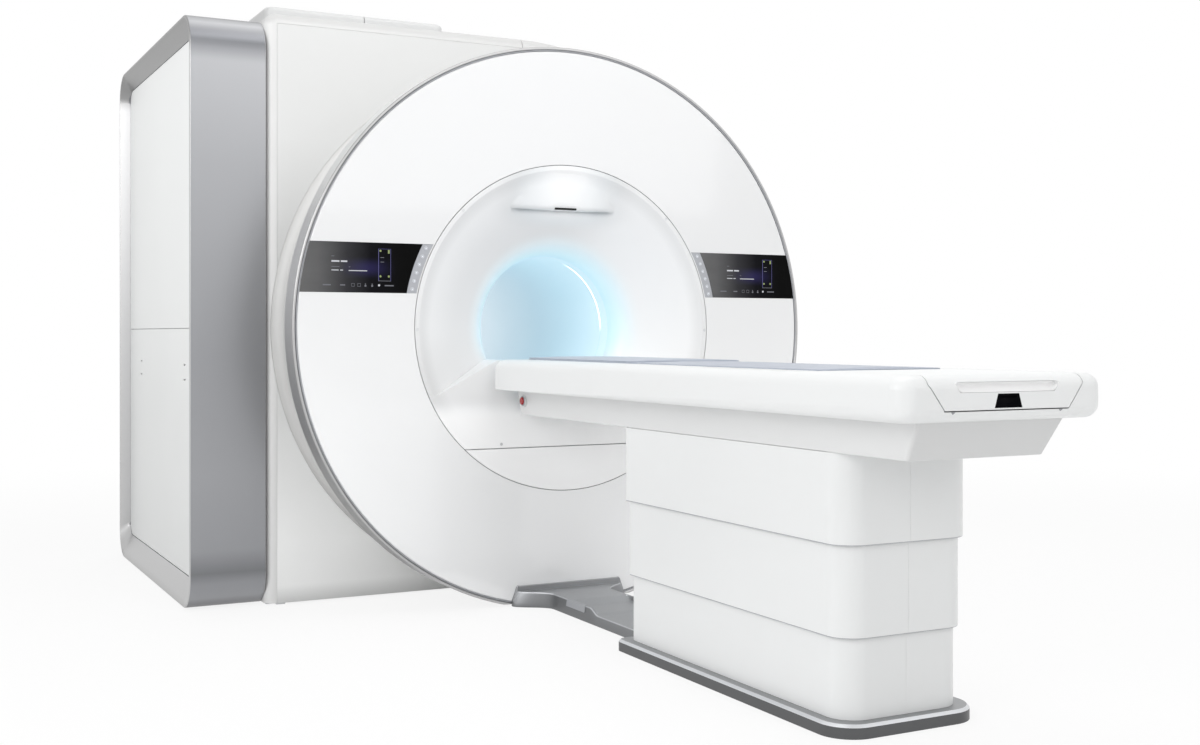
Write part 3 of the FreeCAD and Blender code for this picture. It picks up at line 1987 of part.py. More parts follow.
def slab():
    """The rounded block that tabletop frame and cradle are both parts of."""
    body = new_body("slab_block", piece=False)
    half = s.slab_half_width
    add_prism(
        body,
        "plan",
        slab_bottom,
        s.slab_depth,
        rounded(
            -half,
            slab_near,
            half,
            slab_front,
            [s.slab_corner, s.slab_corner, s.slab_corner_dock, s.slab_corner_dock],
        ),
    )
    finish_edges(body, "Fillet", s.slab_round, lambda e: flat_in(e, "Z", s.table_height))
    doc.recompute()
    rounds = doc.addObject("Part::Fillet", "table_slab")
    rounds.Base = body
    rounds.Edges = lower_rounds(body.Shape)
    return rounds


def tabletop_frame(block_body):
    """The tabletop's moulded frame: the slab less the cradle's channel, rail and belt slots."""
    cutter = new_body("frame_cutter", piece=False)
    start = slab_near - 20
    length = s.slab_length + 40
    add_prism(cutter, "front", start, length, channel(s.channel_gap, s.table_height + 10))
    half = s.rail_half_width
    rail = s.rail_depth
    slots = new_sketch(cutter, "front", slab_near + s.slab_corner - s.fit_gap)
    for hand in (-1, 1):
        middle = hand * s.runner_offset
        draw(
            slots,
            rectangle(middle - half, channel_floor - rail, middle + half, channel_floor + 1),
        )
    extrude(cutter, slots, length)
    slot = s.clamp_half_width + 3
    first = -(clamp_station + s.clamp_length + 40)
    add_prism(
        cutter,
        "plan",
        slab_bottom - 5,
        channel_floor - slab_bottom + 6,
        rectangle(-slot, first, slot, -idler_station - 50),
    )
    combine("Cut", "tabletop_frame", [block_body, cutter], piece=True)


def cradle_rails():
    """The two low-friction strips that the cradle's runners slide in."""
    body = new_body("cradle_rails")
    half = s.rail_half_width - s.fit_gap
    tight = s.runner_half_width + 2
    low = channel_floor - s.rail_depth + s.fit_gap
    sketch = new_sketch(body, "front", slab_near + s.slab_corner)
    for hand in (-1, 1):
        middle = hand * s.runner_offset
        draw(
            sketch,
            [
                (middle - half, low),
                (middle + half, low),
                (middle + half, channel_floor),
                (middle + tight, channel_floor),
                (middle + tight, groove_floor),
                (middle - tight, groove_floor),
                (middle - tight, channel_floor),
                (middle - half, channel_floor),
            ],
        )
    extrude(body, sketch, s.slab_length - s.slab_corner * 1.5)


dish_radius = (s.dish_half_width * s.dish_half_width + s.dish_depth * s.dish_depth) / (
    s.dish_depth * 2
)
dish_centre = s.table_height - s.dish_depth + dish_radius


def cradle(block_body):
    """The patient cradle: dished top, runners, belt clamp, handle slot and catch pocket."""
    form = new_body("cradle_form", piece=False)
    start = slab_near - 20
    length = s.slab_length + 40
    add_prism(form, "front", start, length, channel(as_size(0), s.table_height + 10))
    half = s.dish_half_width
    top = s.table_height
    cut_prism(
        form,
        "front",
        slab_near + s.dish_end,
        s.slab_length - s.dish_end - s.dish_start,
        [(-half, top, dish_radius, "left"), (half, top), (half, top + 20), (-half, top + 20)],
    )
    cut_prism(
        form,
        "front",
        start,
        s.slot_depth + 20,
        [
            (-s.slot_half_width + s.slot_taper, s.slot_bottom),
            (s.slot_half_width - s.slot_taper, s.slot_bottom),
            (s.slot_half_width, s.slot_top),
            (-s.slot_half_width, s.slot_top),
        ],
    )
    foot = s.slot_half_width - s.slot_taper
    mouth = slab_near + s.slot_depth

    def slot_corner(edge):
        box = edge.BoundBox
        low = near(box.ZMin, s.slot_bottom) and near(abs(box.XMin), foot)
        high = near(box.ZMin, s.slot_top) and near(abs(box.XMin), s.slot_half_width)
        return box.YLength > 1 and near(box.YMax, mouth) and (low or high)

    finish_edges(form, "Fillet", s.slot_round, slot_corner)
    cut_prism(form, "front", start, s.catch_depth + s.catch_travel + 21, catch_outline(as_size(0)))
    trimmed = combine("MultiCommon", "cradle_block", [block_body, form])
    under = new_body("cradle_under", piece=False)
    runners = new_sketch(under, "front", slab_near + s.slab_corner + 10)
    for hand in (-1, 1):
        middle = hand * s.runner_offset
        draw(
            runners,
            rectangle(
                middle - s.runner_half_width,
                runner_foot,
                middle + s.runner_half_width,
                s.cradle_bottom + 2,
            ),
        )
    extrude(under, runners, s.slab_length - s.slab_corner * 1.5 - 20)
    clamp = s.clamp_half_width
    add_prism(
        under,
        "plan",
        slab_bottom - 1,
        s.cradle_bottom - slab_bottom + 3,
        rectangle(
            -clamp,
            -clamp_station - s.clamp_length / 2,
            clamp,
            -clamp_station + s.clamp_length / 2,
        ),
    )
    combine("MultiFuse", "cradle", [trimmed, under], piece=True)


def catch_outline(gap):
    """The release catch in the cradle's end, wider at its foot."""
    foot = s.cradle_bottom + 4 + gap
    top = s.cradle_bottom + 4 + s.catch_height - gap
    return [
        (gap - s.catch_foot, foot),
        (s.catch_foot - gap, foot),
        (s.catch_top - gap, top),
        (gap - s.catch_top, top),
    ]


def cradle_release():
    """The release catch that is pressed in under the handle slot."""
    body = new_body("cradle_release", y=slab_near)
    add_prism(body, "front", 0, s.catch_depth, catch_outline(s.fit_gap))
    grip = s.cradle_bottom + 4 + s.catch_height * 0.72
    cut_prism(
        body,
        "front",
        -1,
        4,
        rectangle(-s.catch_top * 0.75, grip, s.catch_top * 0.75, grip + 4),
    )


def mattress(name, start, end, rise):
    """A pad that fills the cradle's dish and crowns a little above it."""
    body = new_body(name)
    half = s.dish_half_width - 2
    radius = dish_radius - s.fit_gap
    low = dish_centre - chord(radius, half)
    edge = low + 3 + rise
    crown_rise = s.pad_crown - 3
    sweep = (half * half + crown_rise * crown_rise) / (crown_rise * 2)
    add_prism(
        body,
        "front",
        start,
        end - start,
        [(-half, low, radius, "left"), (half, low), (half, edge, sweep, "left"), (-half, edge)],
    )


def mattresses():
    dock = slab_front - s.dish_start - s.fit_gap
    split = dock - s.head_length
    near_end = slab_near + s.dish_end + s.fit_gap
    mattress("mattress_head", split + 1, dock, s.head_rise)
    mattress("mattress_body", near_end, split, as_size(0))


# -------------------------------------------------------------------------------- build
magnet_base()
magnet_vessel()
cold_head()
gradient_coil()
rf_body_coil()
bore_liner()
light_ring()
bore_bridge()
front_bezel()
lower_bezel_panel()
camera_window()
bezel_screws()
rear_bezel()
front_disc_cover()
for word, hand in (("left", -1), ("right", 1)):
    display(f"display_{word}", hand)
    keypad(f"keypad_{word}", hand)
rim_ring()
collar_cover()
front_cover_frame()
enclosure_covers()
body_front_panel()
body_rear_panel()
body_frames()
turret_covers()
cabinet_band()
cabinet_upper_panel()
cabinet_lower_panel()
cabinet_frame()
cabinet_modules()
floor_tray()
tray_lip_insert()
base_plate()
pedestal_covers()
lift_columns()
table_beam()
stop_button("stop_button_left", -1)
stop_button("stop_button_right", 1)
pulley("drive_pulley", drive_station)
pulley("idler_pulley", idler_station)
drive_motor()
drive_belt()
table_slab = slab()
tabletop_frame(table_slab)
cradle_rails()
cradle(table_slab)
cradle_release()
mattresses()
doc.recompute()

faults = [o.Label for o in doc.Objects if "Invalid" in o.State or "Error" in o.State]
if faults:
    raise RuntimeError("not built: " + ", ".join(faults))
for piece in PIECES:
    if piece.Shape.isNull() or not piece.Shape.isValid():
        raise RuntimeError("no valid shape: " + piece.Label)

os.makedirs("parts", exist_ok=True)
for piece in PIECES:
    piece.Shape.exportStep(f"parts/{piece.Label}.step")
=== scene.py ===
import json
import math

import bpy
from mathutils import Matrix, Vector


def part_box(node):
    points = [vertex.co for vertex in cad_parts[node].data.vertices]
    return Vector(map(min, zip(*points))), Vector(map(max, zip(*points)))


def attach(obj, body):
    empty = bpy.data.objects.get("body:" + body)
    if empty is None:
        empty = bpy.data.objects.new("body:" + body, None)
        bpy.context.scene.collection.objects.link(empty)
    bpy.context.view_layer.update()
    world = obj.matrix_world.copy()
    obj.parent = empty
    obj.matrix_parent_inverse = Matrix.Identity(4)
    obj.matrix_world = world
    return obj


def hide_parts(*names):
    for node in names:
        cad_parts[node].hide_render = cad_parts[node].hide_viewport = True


# MRI scanner with its docked patient table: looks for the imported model, in metres.
# The bore runs along Y, the table side faces -Y, +Z is up and the floor is Z = 0.

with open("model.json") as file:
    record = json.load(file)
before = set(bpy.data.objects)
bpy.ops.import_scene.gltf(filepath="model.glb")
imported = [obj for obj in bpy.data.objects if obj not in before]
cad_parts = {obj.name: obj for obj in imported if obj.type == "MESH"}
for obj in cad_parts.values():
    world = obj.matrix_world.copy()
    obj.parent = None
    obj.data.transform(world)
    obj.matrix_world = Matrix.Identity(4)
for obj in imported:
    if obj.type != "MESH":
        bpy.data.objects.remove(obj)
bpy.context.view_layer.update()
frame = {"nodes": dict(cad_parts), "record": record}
nodes = frame["nodes"]

# Places and sizes of the CAD model that the looks are fitted to.
BORE_Z = 1.110  # the bore's axis
DISC_Y = -1.070  # the round cover's face
RIM_INNER, RIM_OUTER = 1.125, 1.138  # the rim's radii about the bore
DISPLAY_LOW, DISPLAY_HIGH = 1.2413, 1.4317  # the display glass
DISPLAY_INNER, DISPLAY_OUTER = -0.705, -1.115  # the left display's ends
DISPLAY_SHIFT = 1.75  # from the left display to the right one
KEYS_LOW, KEYS_HEIGHT, KEYS_RADIUS = 1.241, 0.191, 0.6855
BAND_TOP = 2.348  # the cabinet's band
PEDESTAL_Y = -2.573  # the pedestal's middle
TABLE_TOP, TABLE_FOOT, TABLE_ROUND = 0.984, 0.866, 0.038  # the tabletop, and its end's round
DISH_RADIUS, DISH_DEPTH = 1.048, 0.026  # the cradle's hollow
TRAY_END, TRAY_LIP = -1.9395, 0.0597


# ------------------------------------------------------------------- material building
class Graph:
    """A material's node tree with short calls for what the materials here need."""

    def __init__(self, name):
        self.material = bpy.data.materials.new(name)
        self.material.use_nodes = True
        self.tree = self.material.node_tree
        self.shader = self.tree.nodes["Principled BSDF"]
        self.coords = self.tree.nodes.new("ShaderNodeTexCoord").outputs["Object"]

    def link(self, a, b):
        self.tree.links.new(a, b)

    def stretch(self, scale):
        mapping = self.tree.nodes.new("ShaderNodeMapping")
        mapping.inputs["Scale"].default_value = scale
        self.link(self.coords, mapping.inputs["Vector"])
        return mapping.outputs["Vector"]

    def noise(self, size, detail=3.0, scale=(1, 1, 1), rough=0.55):
        node = self.tree.nodes.new("ShaderNodeTexNoise")
        node.inputs["Scale"].default_value = size
        node.inputs["Detail"].default_value = detail
        node.inputs["Roughness"].default_value = rough
        self.link(self.stretch(scale), node.inputs["Vector"])
        return node.outputs["Fac"]

    def cells(self, size):
        node = self.tree.nodes.new("ShaderNodeTexVoronoi")
        node.feature = "SMOOTH_F1"
        node.inputs["Scale"].default_value = size
        self.link(self.coords, node.inputs["Vector"])
        return node.outputs["Distance"]

    def ramp(self, value, stops):
        node = self.tree.nodes.new("ShaderNodeValToRGB")
        elements = node.color_ramp.elements
        elements[0].position = stops[0][0]
        elements[1].position = stops[-1][0]
        for place, _ in stops[1:-1]:
            elements.new(place)
        for element, (_, colour) in zip(elements, stops):
            element.color = (*colour, 1.0) if isinstance(colour, tuple) else (colour,) * 3 + (1,)
        self.link(value, node.inputs["Fac"])
        return node.outputs["Color"]

    def spread(self, value, low, high, to_low, to_high, shape="SMOOTHSTEP"):
        node = self.tree.nodes.new("ShaderNodeMapRange")
        node.interpolation_type = shape
        for name, number in zip(
            ("From Min", "From Max", "To Min", "To Max"), (low, high, to_low, to_high)
        ):
            node.inputs[name].default_value = number
        self.link(value, node.inputs["Value"])
        return node.outputs["Result"]

    def rise(self, value, low, high):
        """From 0 at the low limit to 1 at the high one."""
        return self.spread(value, low, high, 0.0, 1.0)

    def fall(self, value, low, high):
        """From 1 at the low limit to 0 at the high one."""
        return self.spread(value, low, high, 1.0, 0.0)

    def math(self, kind, a, b=None):
        node = self.tree.nodes.new("ShaderNodeMath")
        node.operation = kind
        for i, value in enumerate((a, b)):
            if value is None:
                continue
            if isinstance(value, (int, float)):
                node.inputs[i].default_value = value
            else:
                self.link(value, node.inputs[i])
        return node.outputs[0]

    def times(self, *values):
        product = values[0]
        for value in values[1:]:
            product = self.math("MULTIPLY", product, value)
        return product

    def length(self, a, b):
        """The length of a vector from its two parts."""
        return self.math("SQRT", self.math("ADD", self.times(a, a), self.times(b, b)))

    def axis(self, letter, source=None):
        node = self.tree.nodes.new("ShaderNodeSeparateXYZ")
        self.link(source or self.coords, node.inputs[0])
        return node.outputs[letter]

    def facing(self, letter):
        """How far the surface faces along a world axis, from 0 to 1."""
        geometry = self.tree.nodes.new("ShaderNodeNewGeometry")
        part = self.axis(letter, geometry.outputs["Normal"])
        return self.math("ADD", self.times(part, 0.5), 0.5)

    def about_bore(self):
        """Distance from the bore's axis, and height above it."""
        z = self.math("SUBTRACT", self.axis("Z"), BORE_Z)
        return self.length(self.axis("X"), z), z

    def mix(self, factor, a, b, blend="MIX"):
        node = self.tree.nodes.new("ShaderNodeMix")
        node.data_type = "RGBA"
        node.blend_type = blend
        for socket, value in ((node.inputs[0], factor), (node.inputs[6], a), (node.inputs[7], b)):
            if isinstance(value, (int, float)):
                socket.default_value = value
            elif isinstance(value, tuple):
                socket.default_value = (*value, 1.0)
            else:
                self.link(value, socket)
        return node.outputs[2]

    def edge_mask(self, width):
        """A mask of edges and corners, from the angle between the face and its bevelled normal."""
        bevel = self.tree.nodes.new("ShaderNodeBevel")
        bevel.samples = 4
        bevel.inputs["Radius"].default_value = width
        geometry = self.tree.nodes.new("ShaderNodeNewGeometry")
        dot = self.tree.nodes.new("ShaderNodeVectorMath")
        dot.operation = "DOT_PRODUCT"
        self.link(bevel.outputs["Normal"], dot.inputs[0])
        self.link(geometry.outputs["Normal"], dot.inputs[1])
        return self.fall(dot.outputs["Value"], 0.80, 0.995)

    def soft_normal(self, radius):
        """The normal of edges that look rounded; the radius is a number or a value of its own."""
        bevel = self.tree.nodes.new("ShaderNodeBevel")
        bevel.samples = 6
        if isinstance(radius, float):
            bevel.inputs["Radius"].default_value = radius
        else:
            self.link(radius, bevel.inputs["Radius"])
        return bevel.outputs["Normal"]

    def bump(self, height, strength, distance, normal=None):
        node = self.tree.nodes.new("ShaderNodeBump")
        node.inputs["Strength"].default_value = strength
        node.inputs["Distance"].default_value = distance
        self.link(height, node.inputs["Height"])
        if normal is not None:
            self.link(normal, node.inputs["Normal"])
        self.link(node.outputs["Normal"], self.shader.inputs["Normal"])

    def set(self, **values):
        for name, value in values.items():
            socket = self.shader.inputs[name.replace("_", " ")]
            if isinstance(value, tuple):
                socket.default_value = (*value, 1.0)
            elif isinstance(value, (int, float)):
                socket.default_value = value
            else:
                self.link(value, socket)


def painted(
    name, colour, rough=0.3, coat=0.0, grain=420, bump=0.02, dust=0.02, rise=None, facing_shade=()
):
    """Sprayed or moulded plastic: fine orange peel, faint tone drift and soft edges. Painted light
    and shade may be added by height, as rise lists it from the floor (0) up to 2.5 m (1), and
    painted shade by the way the surface faces, as a list of tones by axis gives it."""
    g = Graph(name)
    shade = tuple(c * (1 - dust) for c in colour)
    paint = g.mix(g.rise(g.noise(1.1, 1.0), 0.25, 0.75), shade, colour)
    # Painted light and shade by height, then painted shade by the way the surface faces.
    if rise:
        paint = g.mix(1.0, paint, g.ramp(g.math("DIVIDE", g.axis("Z"), 2.5), rise), "MULTIPLY")
    for letter, stops in facing_shade:
        paint = g.mix(1.0, paint, g.ramp(g.facing(letter), stops), "MULTIPLY")
    g.set(Base_Color=paint)
    g.set(Roughness=g.spread(g.noise(3.0, 2.0), 0.2, 0.8, rough * 0.95, rough * 1.08))
    g.set(Coat_Weight=coat, Coat_Roughness=0.04)
    g.bump(g.noise(grain, 2.0), bump, 0.0003, g.soft_normal(0.0015))
    return g.material


def metal(
    name, colour, rough, streak, scale=700, bump=0.04, metallic=1.0, edge_wear_and_highlight=1.15, facing_light_and_shade=None
):
    """Brushed or blasted metal: streaks along one axis, drifting tone, and edges brightened both
    as rubbed metal and as a painted highlight. Painted light and shade by the way the surface
    faces may be added, as a list of tones from down to up gives it."""
    g = Graph(name)
    lines = g.noise(scale, 4.0, streak, 0.7)
    dark = tuple(c * 0.95 for c in colour)
    light = tuple(min(c * 1.04, 1.0) for c in colour)
    edge = tuple(min(c * edge_wear_and_highlight, 1.0) for c in colour)
    tone = g.mix(g.rise(g.noise(1.6, 1.0), 0.3, 0.7), dark, light)
    tone = g.mix(g.spread(lines, 0.3, 0.7, 0.0, 0.2), tone, dark)
    # Edges brightened both as rubbed metal and as a painted highlight.
    tone = g.mix(g.times(g.edge_mask(0.003), 0.6), tone, edge)
    # Painted light and shade by the way the metal faces.
    if facing_light_and_shade:
        tone = g.mix(1.0, tone, g.ramp(g.facing("Z"), facing_light_and_shade), "MULTIPLY")
    g.set(Base_Color=tone, Metallic=metallic)
    g.set(Roughness=g.spread(lines, 0.2, 0.8, rough * 0.85, rough * 1.2))
    g.bump(lines, bump, 0.0003, g.soft_normal(0.0015))
    return g.material


def band_metal(name):
    """The cabinet band's brushed finish: satin grey, with a painted highlight over the top bend
    and a painted dark line under it, painted light and shade down the front, a paler border that
    faces aside with painted shade at its top, and edges brightened as a painted highlight."""
    g = Graph(name)
    lines = g.noise(900, 4.0, (14, 1, 1), 0.7)
    height = g.math("DIVIDE", g.axis("Z"), BAND_TOP)
    # Painted highlight and shade down the front, by height.
    front_highlight_and_shade = [
        (0.000, (0.10, 0.10, 0.11)),
        (0.008, (0.22, 0.22, 0.23)),
        (0.020, (0.34, 0.345, 0.36)),
        (0.045, (0.30, 0.305, 0.32)),
        (0.062, (0.20, 0.205, 0.215)),
        (0.100, (0.32, 0.325, 0.34)),
        (0.225, (0.355, 0.36, 0.375)),
        (0.420, (0.335, 0.34, 0.355)),
        (0.750, (0.375, 0.38, 0.395)),
        (0.920, (0.43, 0.435, 0.45)),
        (0.942, (0.28, 0.285, 0.30)),
        (0.954, (0.155, 0.16, 0.17)),
        (0.966, (0.22, 0.225, 0.24)),
        (0.975, (0.36, 0.365, 0.38)),
        (0.985, (0.58, 0.585, 0.60)),
        (0.993, (0.46, 0.465, 0.48)),
        (1.000, (0.10, 0.105, 0.11)),
    ]
    # Painted shade on the border that faces aside, darker at its top bend.
    side_light_and_shade = [
        (0.0, 0.40), (0.012, 0.50), (0.045, 0.52), (0.93, 0.52), (0.955, 0.32), (1.0, 0.28)
    ]
    aside = g.fall(g.facing("X"), 0.275, 0.40)
    tone = g.mix(aside, g.ramp(height, front_highlight_and_shade), g.ramp(height, side_light_and_shade))
    dark = g.mix(1.0, tone, (0.88, 0.88, 0.89), "MULTIPLY")
    fine = g.mix(g.spread(lines, 0.3, 0.7, 0.0, 0.5), tone, dark)
    # Edges brightened as a painted highlight.
    g.set(Base_Color=g.mix(g.times(g.edge_mask(0.004), 0.5), fine, (0.80, 0.81, 0.82)))
    g.set(Metallic=0.7, Roughness=g.spread(lines, 0.2, 0.8, 0.30, 0.42))
    g.bump(lines, 0.04, 0.0003, g.soft_normal(0.003))
    return g.material


def rim_metal(name):
    """The rim's polished alloy: a grey front edge with painted light and shade across it, and a
    side with painted shade that is darker where it faces down.
    """
    g = Graph(name)
    lines = g.noise(500, 4.0, (1, 6, 1), 0.7)
    radius, _ = g.about_bore()
    # Painted highlight and shade across the front edge, by radius.
    front = g.ramp(
        g.spread(radius, RIM_INNER, RIM_OUTER, 0.0, 1.0, "LINEAR"),
        [(0.0, 0.42), (0.20, 0.46), (0.42, 0.48), (0.70, 0.50), (0.88, 0.44), (1.0, 0.38)],
    )
    # Painted shade on the side, darker where it faces down.
    side = g.ramp(
        g.facing("Z"),
        [(0.0, 0.26), (0.2, 0.32), (0.42, 0.48), (0.56, 0.72), (0.8, 0.84), (1.0, 0.86)],
    )
    tone = g.mix(g.rise(g.axis("Y"), DISC_Y + 0.004, DISC_Y + 0.012), front, side)
    shade = g.mix(1.0, tone, (0.9, 0.9, 0.91), "MULTIPLY")
    g.set(Base_Color=g.mix(g.spread(lines, 0.3, 0.7, 0.0, 0.5), tone, shade))
    g.set(Metallic=0.85, Roughness=g.spread(lines, 0.2, 0.8, 0.3, 0.4))
    g.bump(lines, 0.03, 0.0003, g.soft_normal(0.0012))
    return g.material


def glass_black(name, rough, specular=0.25):
    """Black printed glass with faint smears."""
    g = Graph(name)
    smear = g.noise(9, 3.0, (1, 1, 2.5))
    tone = g.mix(g.rise(smear, 0.4, 0.75), (0.004, 0.004, 0.005), (0.008, 0.008, 0.009))
    g.set(Base_Color=tone)
    g.set(Roughness=g.spread(smear, 0.35, 0.8, rough, rough * 1.8))
    g.shader.inputs["Specular IOR Level"].default_value = specular
    g.bump(g.noise(60, 2.0), 0.01, 0.0002)
    return g.material


def display_glass(name):
    """Cover glass that is greyer toward the left end and near black toward the right, and a violet
    glow behind its middle."""
    g = Graph(name)
    x = g.axis("X")
    x = g.math("SUBTRACT", x, g.times(g.math("GREATER_THAN", x, 0.0), DISPLAY_SHIFT))
    along = g.spread(x, DISPLAY_OUTER, DISPLAY_INNER, 0.0, 1.0, "LINEAR")
    greyer_to_the_left = g.ramp(
        along,
        [
            (0.0, (0.150, 0.150, 0.150)),
            (0.18, (0.125, 0.125, 0.127)),
            (0.45, (0.040, 0.040, 0.044)),
            (0.68, (0.008, 0.008, 0.010)),
            (1.0, (0.004, 0.004, 0.004)),
        ],
    )
    smear = g.noise(9, 3.0, (1, 1, 2.5))
    g.set(Base_Color=g.mix(1.0, greyer_to_the_left, g.ramp(smear, [(0.3, 0.9), (0.7, 1.0)]), "MULTIPLY"))
    g.set(Roughness=g.spread(smear, 0.35, 0.8, 0.05, 0.09))
    g.shader.inputs["Specular IOR Level"].default_value = 0.03
    up = g.math("ABSOLUTE", g.math("SUBTRACT", g.axis("Z"), 1.335))
    aside = g.math("ABSOLUTE", g.math("SUBTRACT", along, 0.64))
    glow = g.times(g.fall(up, 0.0, 0.045), g.spread(aside, 0.0, 0.30, 0.10, 0.0))
    g.set(Emission_Color=(0.16, 0.13, 0.62), Emission_Strength=glow)
    g.bump(g.noise(60, 2.0), 0.01, 0.0002)
    return g.material


def glowing(name, colour, strength):
    """A mark that is lit from behind, and nearly black where it isn't."""
    g = Graph(name)
    ink = g.mix(g.noise(40, 2.0), (0.02, 0.02, 0.03), (0.018, 0.018, 0.027))
    g.set(Base_Color=ink, Roughness=0.4)
    g.set(Emission_Color=colour, Emission_Strength=strength)
    return g.material


def light_guide(name):
    """The light ring: lit from the axis up toward the top on each side, and faint elsewhere."""
    g = Graph(name)
    radius, z = g.about_bore()
    share = g.math("DIVIDE", z, radius)
    low = g.spread(share, -0.06, 0.12, 0.04, 1.0)
    high = g.spread(share, 0.84, 0.94, 1.0, 0.04)
    tone = g.mix(g.noise(40, 2.0), (0.80, 0.90, 0.95), (0.72, 0.82, 0.86))
    g.set(Base_Color=tone, Roughness=0.4)
    g.set(Emission_Color=(0.85, 0.97, 1.0), Emission_Strength=g.times(low, high, 2.4))
    return g.material


def bore_white(name):
    """Bore lining: white skin with a painted pale blue glow for the ring's light, paler at both
    ends.
    """
    g = Graph(name)
    along = g.math("ADD", g.times(g.axis("Y"), 0.5), 0.5)
    # Painted light: a glow by place along the bore for the ring's light, paler toward both ends.
    painted_glow = g.ramp(
        along,
        [
            (0.07, (0.130, 0.215, 0.240)),
            (0.22, (0.105, 0.175, 0.205)),
            (0.42, (0.070, 0.110, 0.130)),
            (0.60, (0.110, 0.140, 0.155)),
            (0.80, (0.175, 0.195, 0.205)),
            (0.95, (0.220, 0.235, 0.240)),
        ],
    )
    g.set(Base_Color=g.mix(g.noise(2.0), (0.76, 0.81, 0.84), (0.78, 0.83, 0.86)))
    g.set(Roughness=g.spread(g.noise(5, 2), 0.3, 0.7, 0.32, 0.38))
    g.set(Emission_Color=painted_glow, Emission_Strength=1.0)
    g.bump(g.noise(420, 2.0), 0.02, 0.0003)
    return g.material


def flare_white(name, colour):
    """Entry bezel: white moulding with painted light and shade: the bore's pale blue light painted
    on the innermost flare, a brow painted darker and lit by a painted glow, a painted shaded
    hollow up on the left, painted shade on the outer lip, and painted shade low on the left above
    a shelf lit by a painted glow."""
    g = Graph(name)
    radius, z = g.about_bore()
    x = g.axis("X")
    across = g.math("ABSOLUTE", x)
    toward = g.math("DIVIDE", g.math("SUBTRACT", z, x), radius)
    halo = g.math("POWER", g.fall(radius, 0.296, 0.425), 1.7)
    glow = g.times(halo, g.spread(z, -0.17, -0.02, 0.1, 1.0))
    brow = g.times(g.fall(across, 0.20, 0.34), g.rise(z, 0.40, 0.48))
    lit = g.times(brow, g.fall(across, 0.02, 0.30))
    ring = g.times(g.rise(radius, 0.33, 0.40), g.fall(radius, 0.44, 0.60))
    hollow = g.times(ring, g.rise(toward, 0.1, 1.2))
    low_left = g.times(g.fall(z, -0.20, 0.02), g.rise(z, -0.34, -0.27), g.fall(x, -0.45, -0.1))
    low = g.fall(z, -0.36, -0.29)

    drift = g.rise(g.noise(1.1, 1.0), 0.3, 0.7)
    skin = g.mix(drift, tuple(c * 0.99 for c in colour), colour)
    skin = g.mix(g.times(glow, 0.60), skin, (0.55, 0.80, 0.88))
    skin = g.mix(g.times(brow, 0.35), skin, (0.62, 0.625, 0.63))
    skin = g.mix(g.times(hollow, 0.16), skin, (0.40, 0.40, 0.40))
    # Painted shade on the outer lip.
    skin = g.mix(1.0, skin, g.ramp(radius, [(0.585, 1.0), (0.625, 0.90)]), "MULTIPLY")
    skin = g.mix(g.times(low_left, 0.22), skin, (0.42, 0.42, 0.42))
    skin = g.mix(g.times(low, 0.8), skin, (0.98, 0.98, 0.98))
    g.set(Base_Color=skin, Roughness=g.spread(g.noise(3, 2), 0.3, 0.7, 0.30, 0.34))

    # Painted glow for the bore's light, the brow and the shelf.
    light = g.mix(g.math("MAXIMUM", lit, low), (0.50, 0.76, 0.87), (0.98, 0.99, 1.0))
    strength = g.math("ADD", g.times(glow, 0.20), g.times(lit, 0.20))
    strength = g.math("ADD", strength, g.times(low, 0.035))
    g.set(Emission_Color=light, Emission_Strength=strength)

    lobe = g.times(g.fall(across, 0.22, 0.27), g.rise(z, 0.42, 0.47), g.fall(radius, 0.54, 0.60))
    bend = g.spread(lobe, 0.0, 1.0, 0.004, 0.035)
    g.bump(g.noise(420, 2.0), 0.02, 0.0003, g.soft_normal(bend))
    return g.material


def leather(name, colour):
    """Wipe-clean coated fabric: pebble grain, creases and a soft sheen."""
    g = Graph(name)
    pebble = g.cells(520)
    crease = g.noise(22, 6.0)
    tone = g.mix(g.rise(g.noise(5, 3), 0.3, 0.7), tuple(c * 0.9 for c in colour), colour)
    grain = g.mix(g.spread(pebble, 0.1, 0.6, 0.18, 0.0), tone, tuple(c * 0.7 for c in colour))
    g.set(Base_Color=grain, Roughness=g.spread(crease, 0.3, 0.7, 0.42, 0.58))
    g.set(Sheen_Weight=0.25, Sheen_Roughness=0.5)
    height = g.math("ADD", g.times(pebble, 0.5), g.times(crease, 0.8))
    g.bump(height, 0.25, 0.0008)
    return g.material


def rubber(name):
    """Dull black belt rubber."""
    g = Graph(name)
    g.set(Base_Color=g.mix(g.noise(30, 4), (0.03, 0.03, 0.032), (0.048, 0.048, 0.0512)))
    g.set(Roughness=g.spread(g.noise(80, 3), 0.3, 0.7, 0.585, 0.715))
    g.bump(g.noise(700, 3), 0.15, 0.0004)
    return g.material
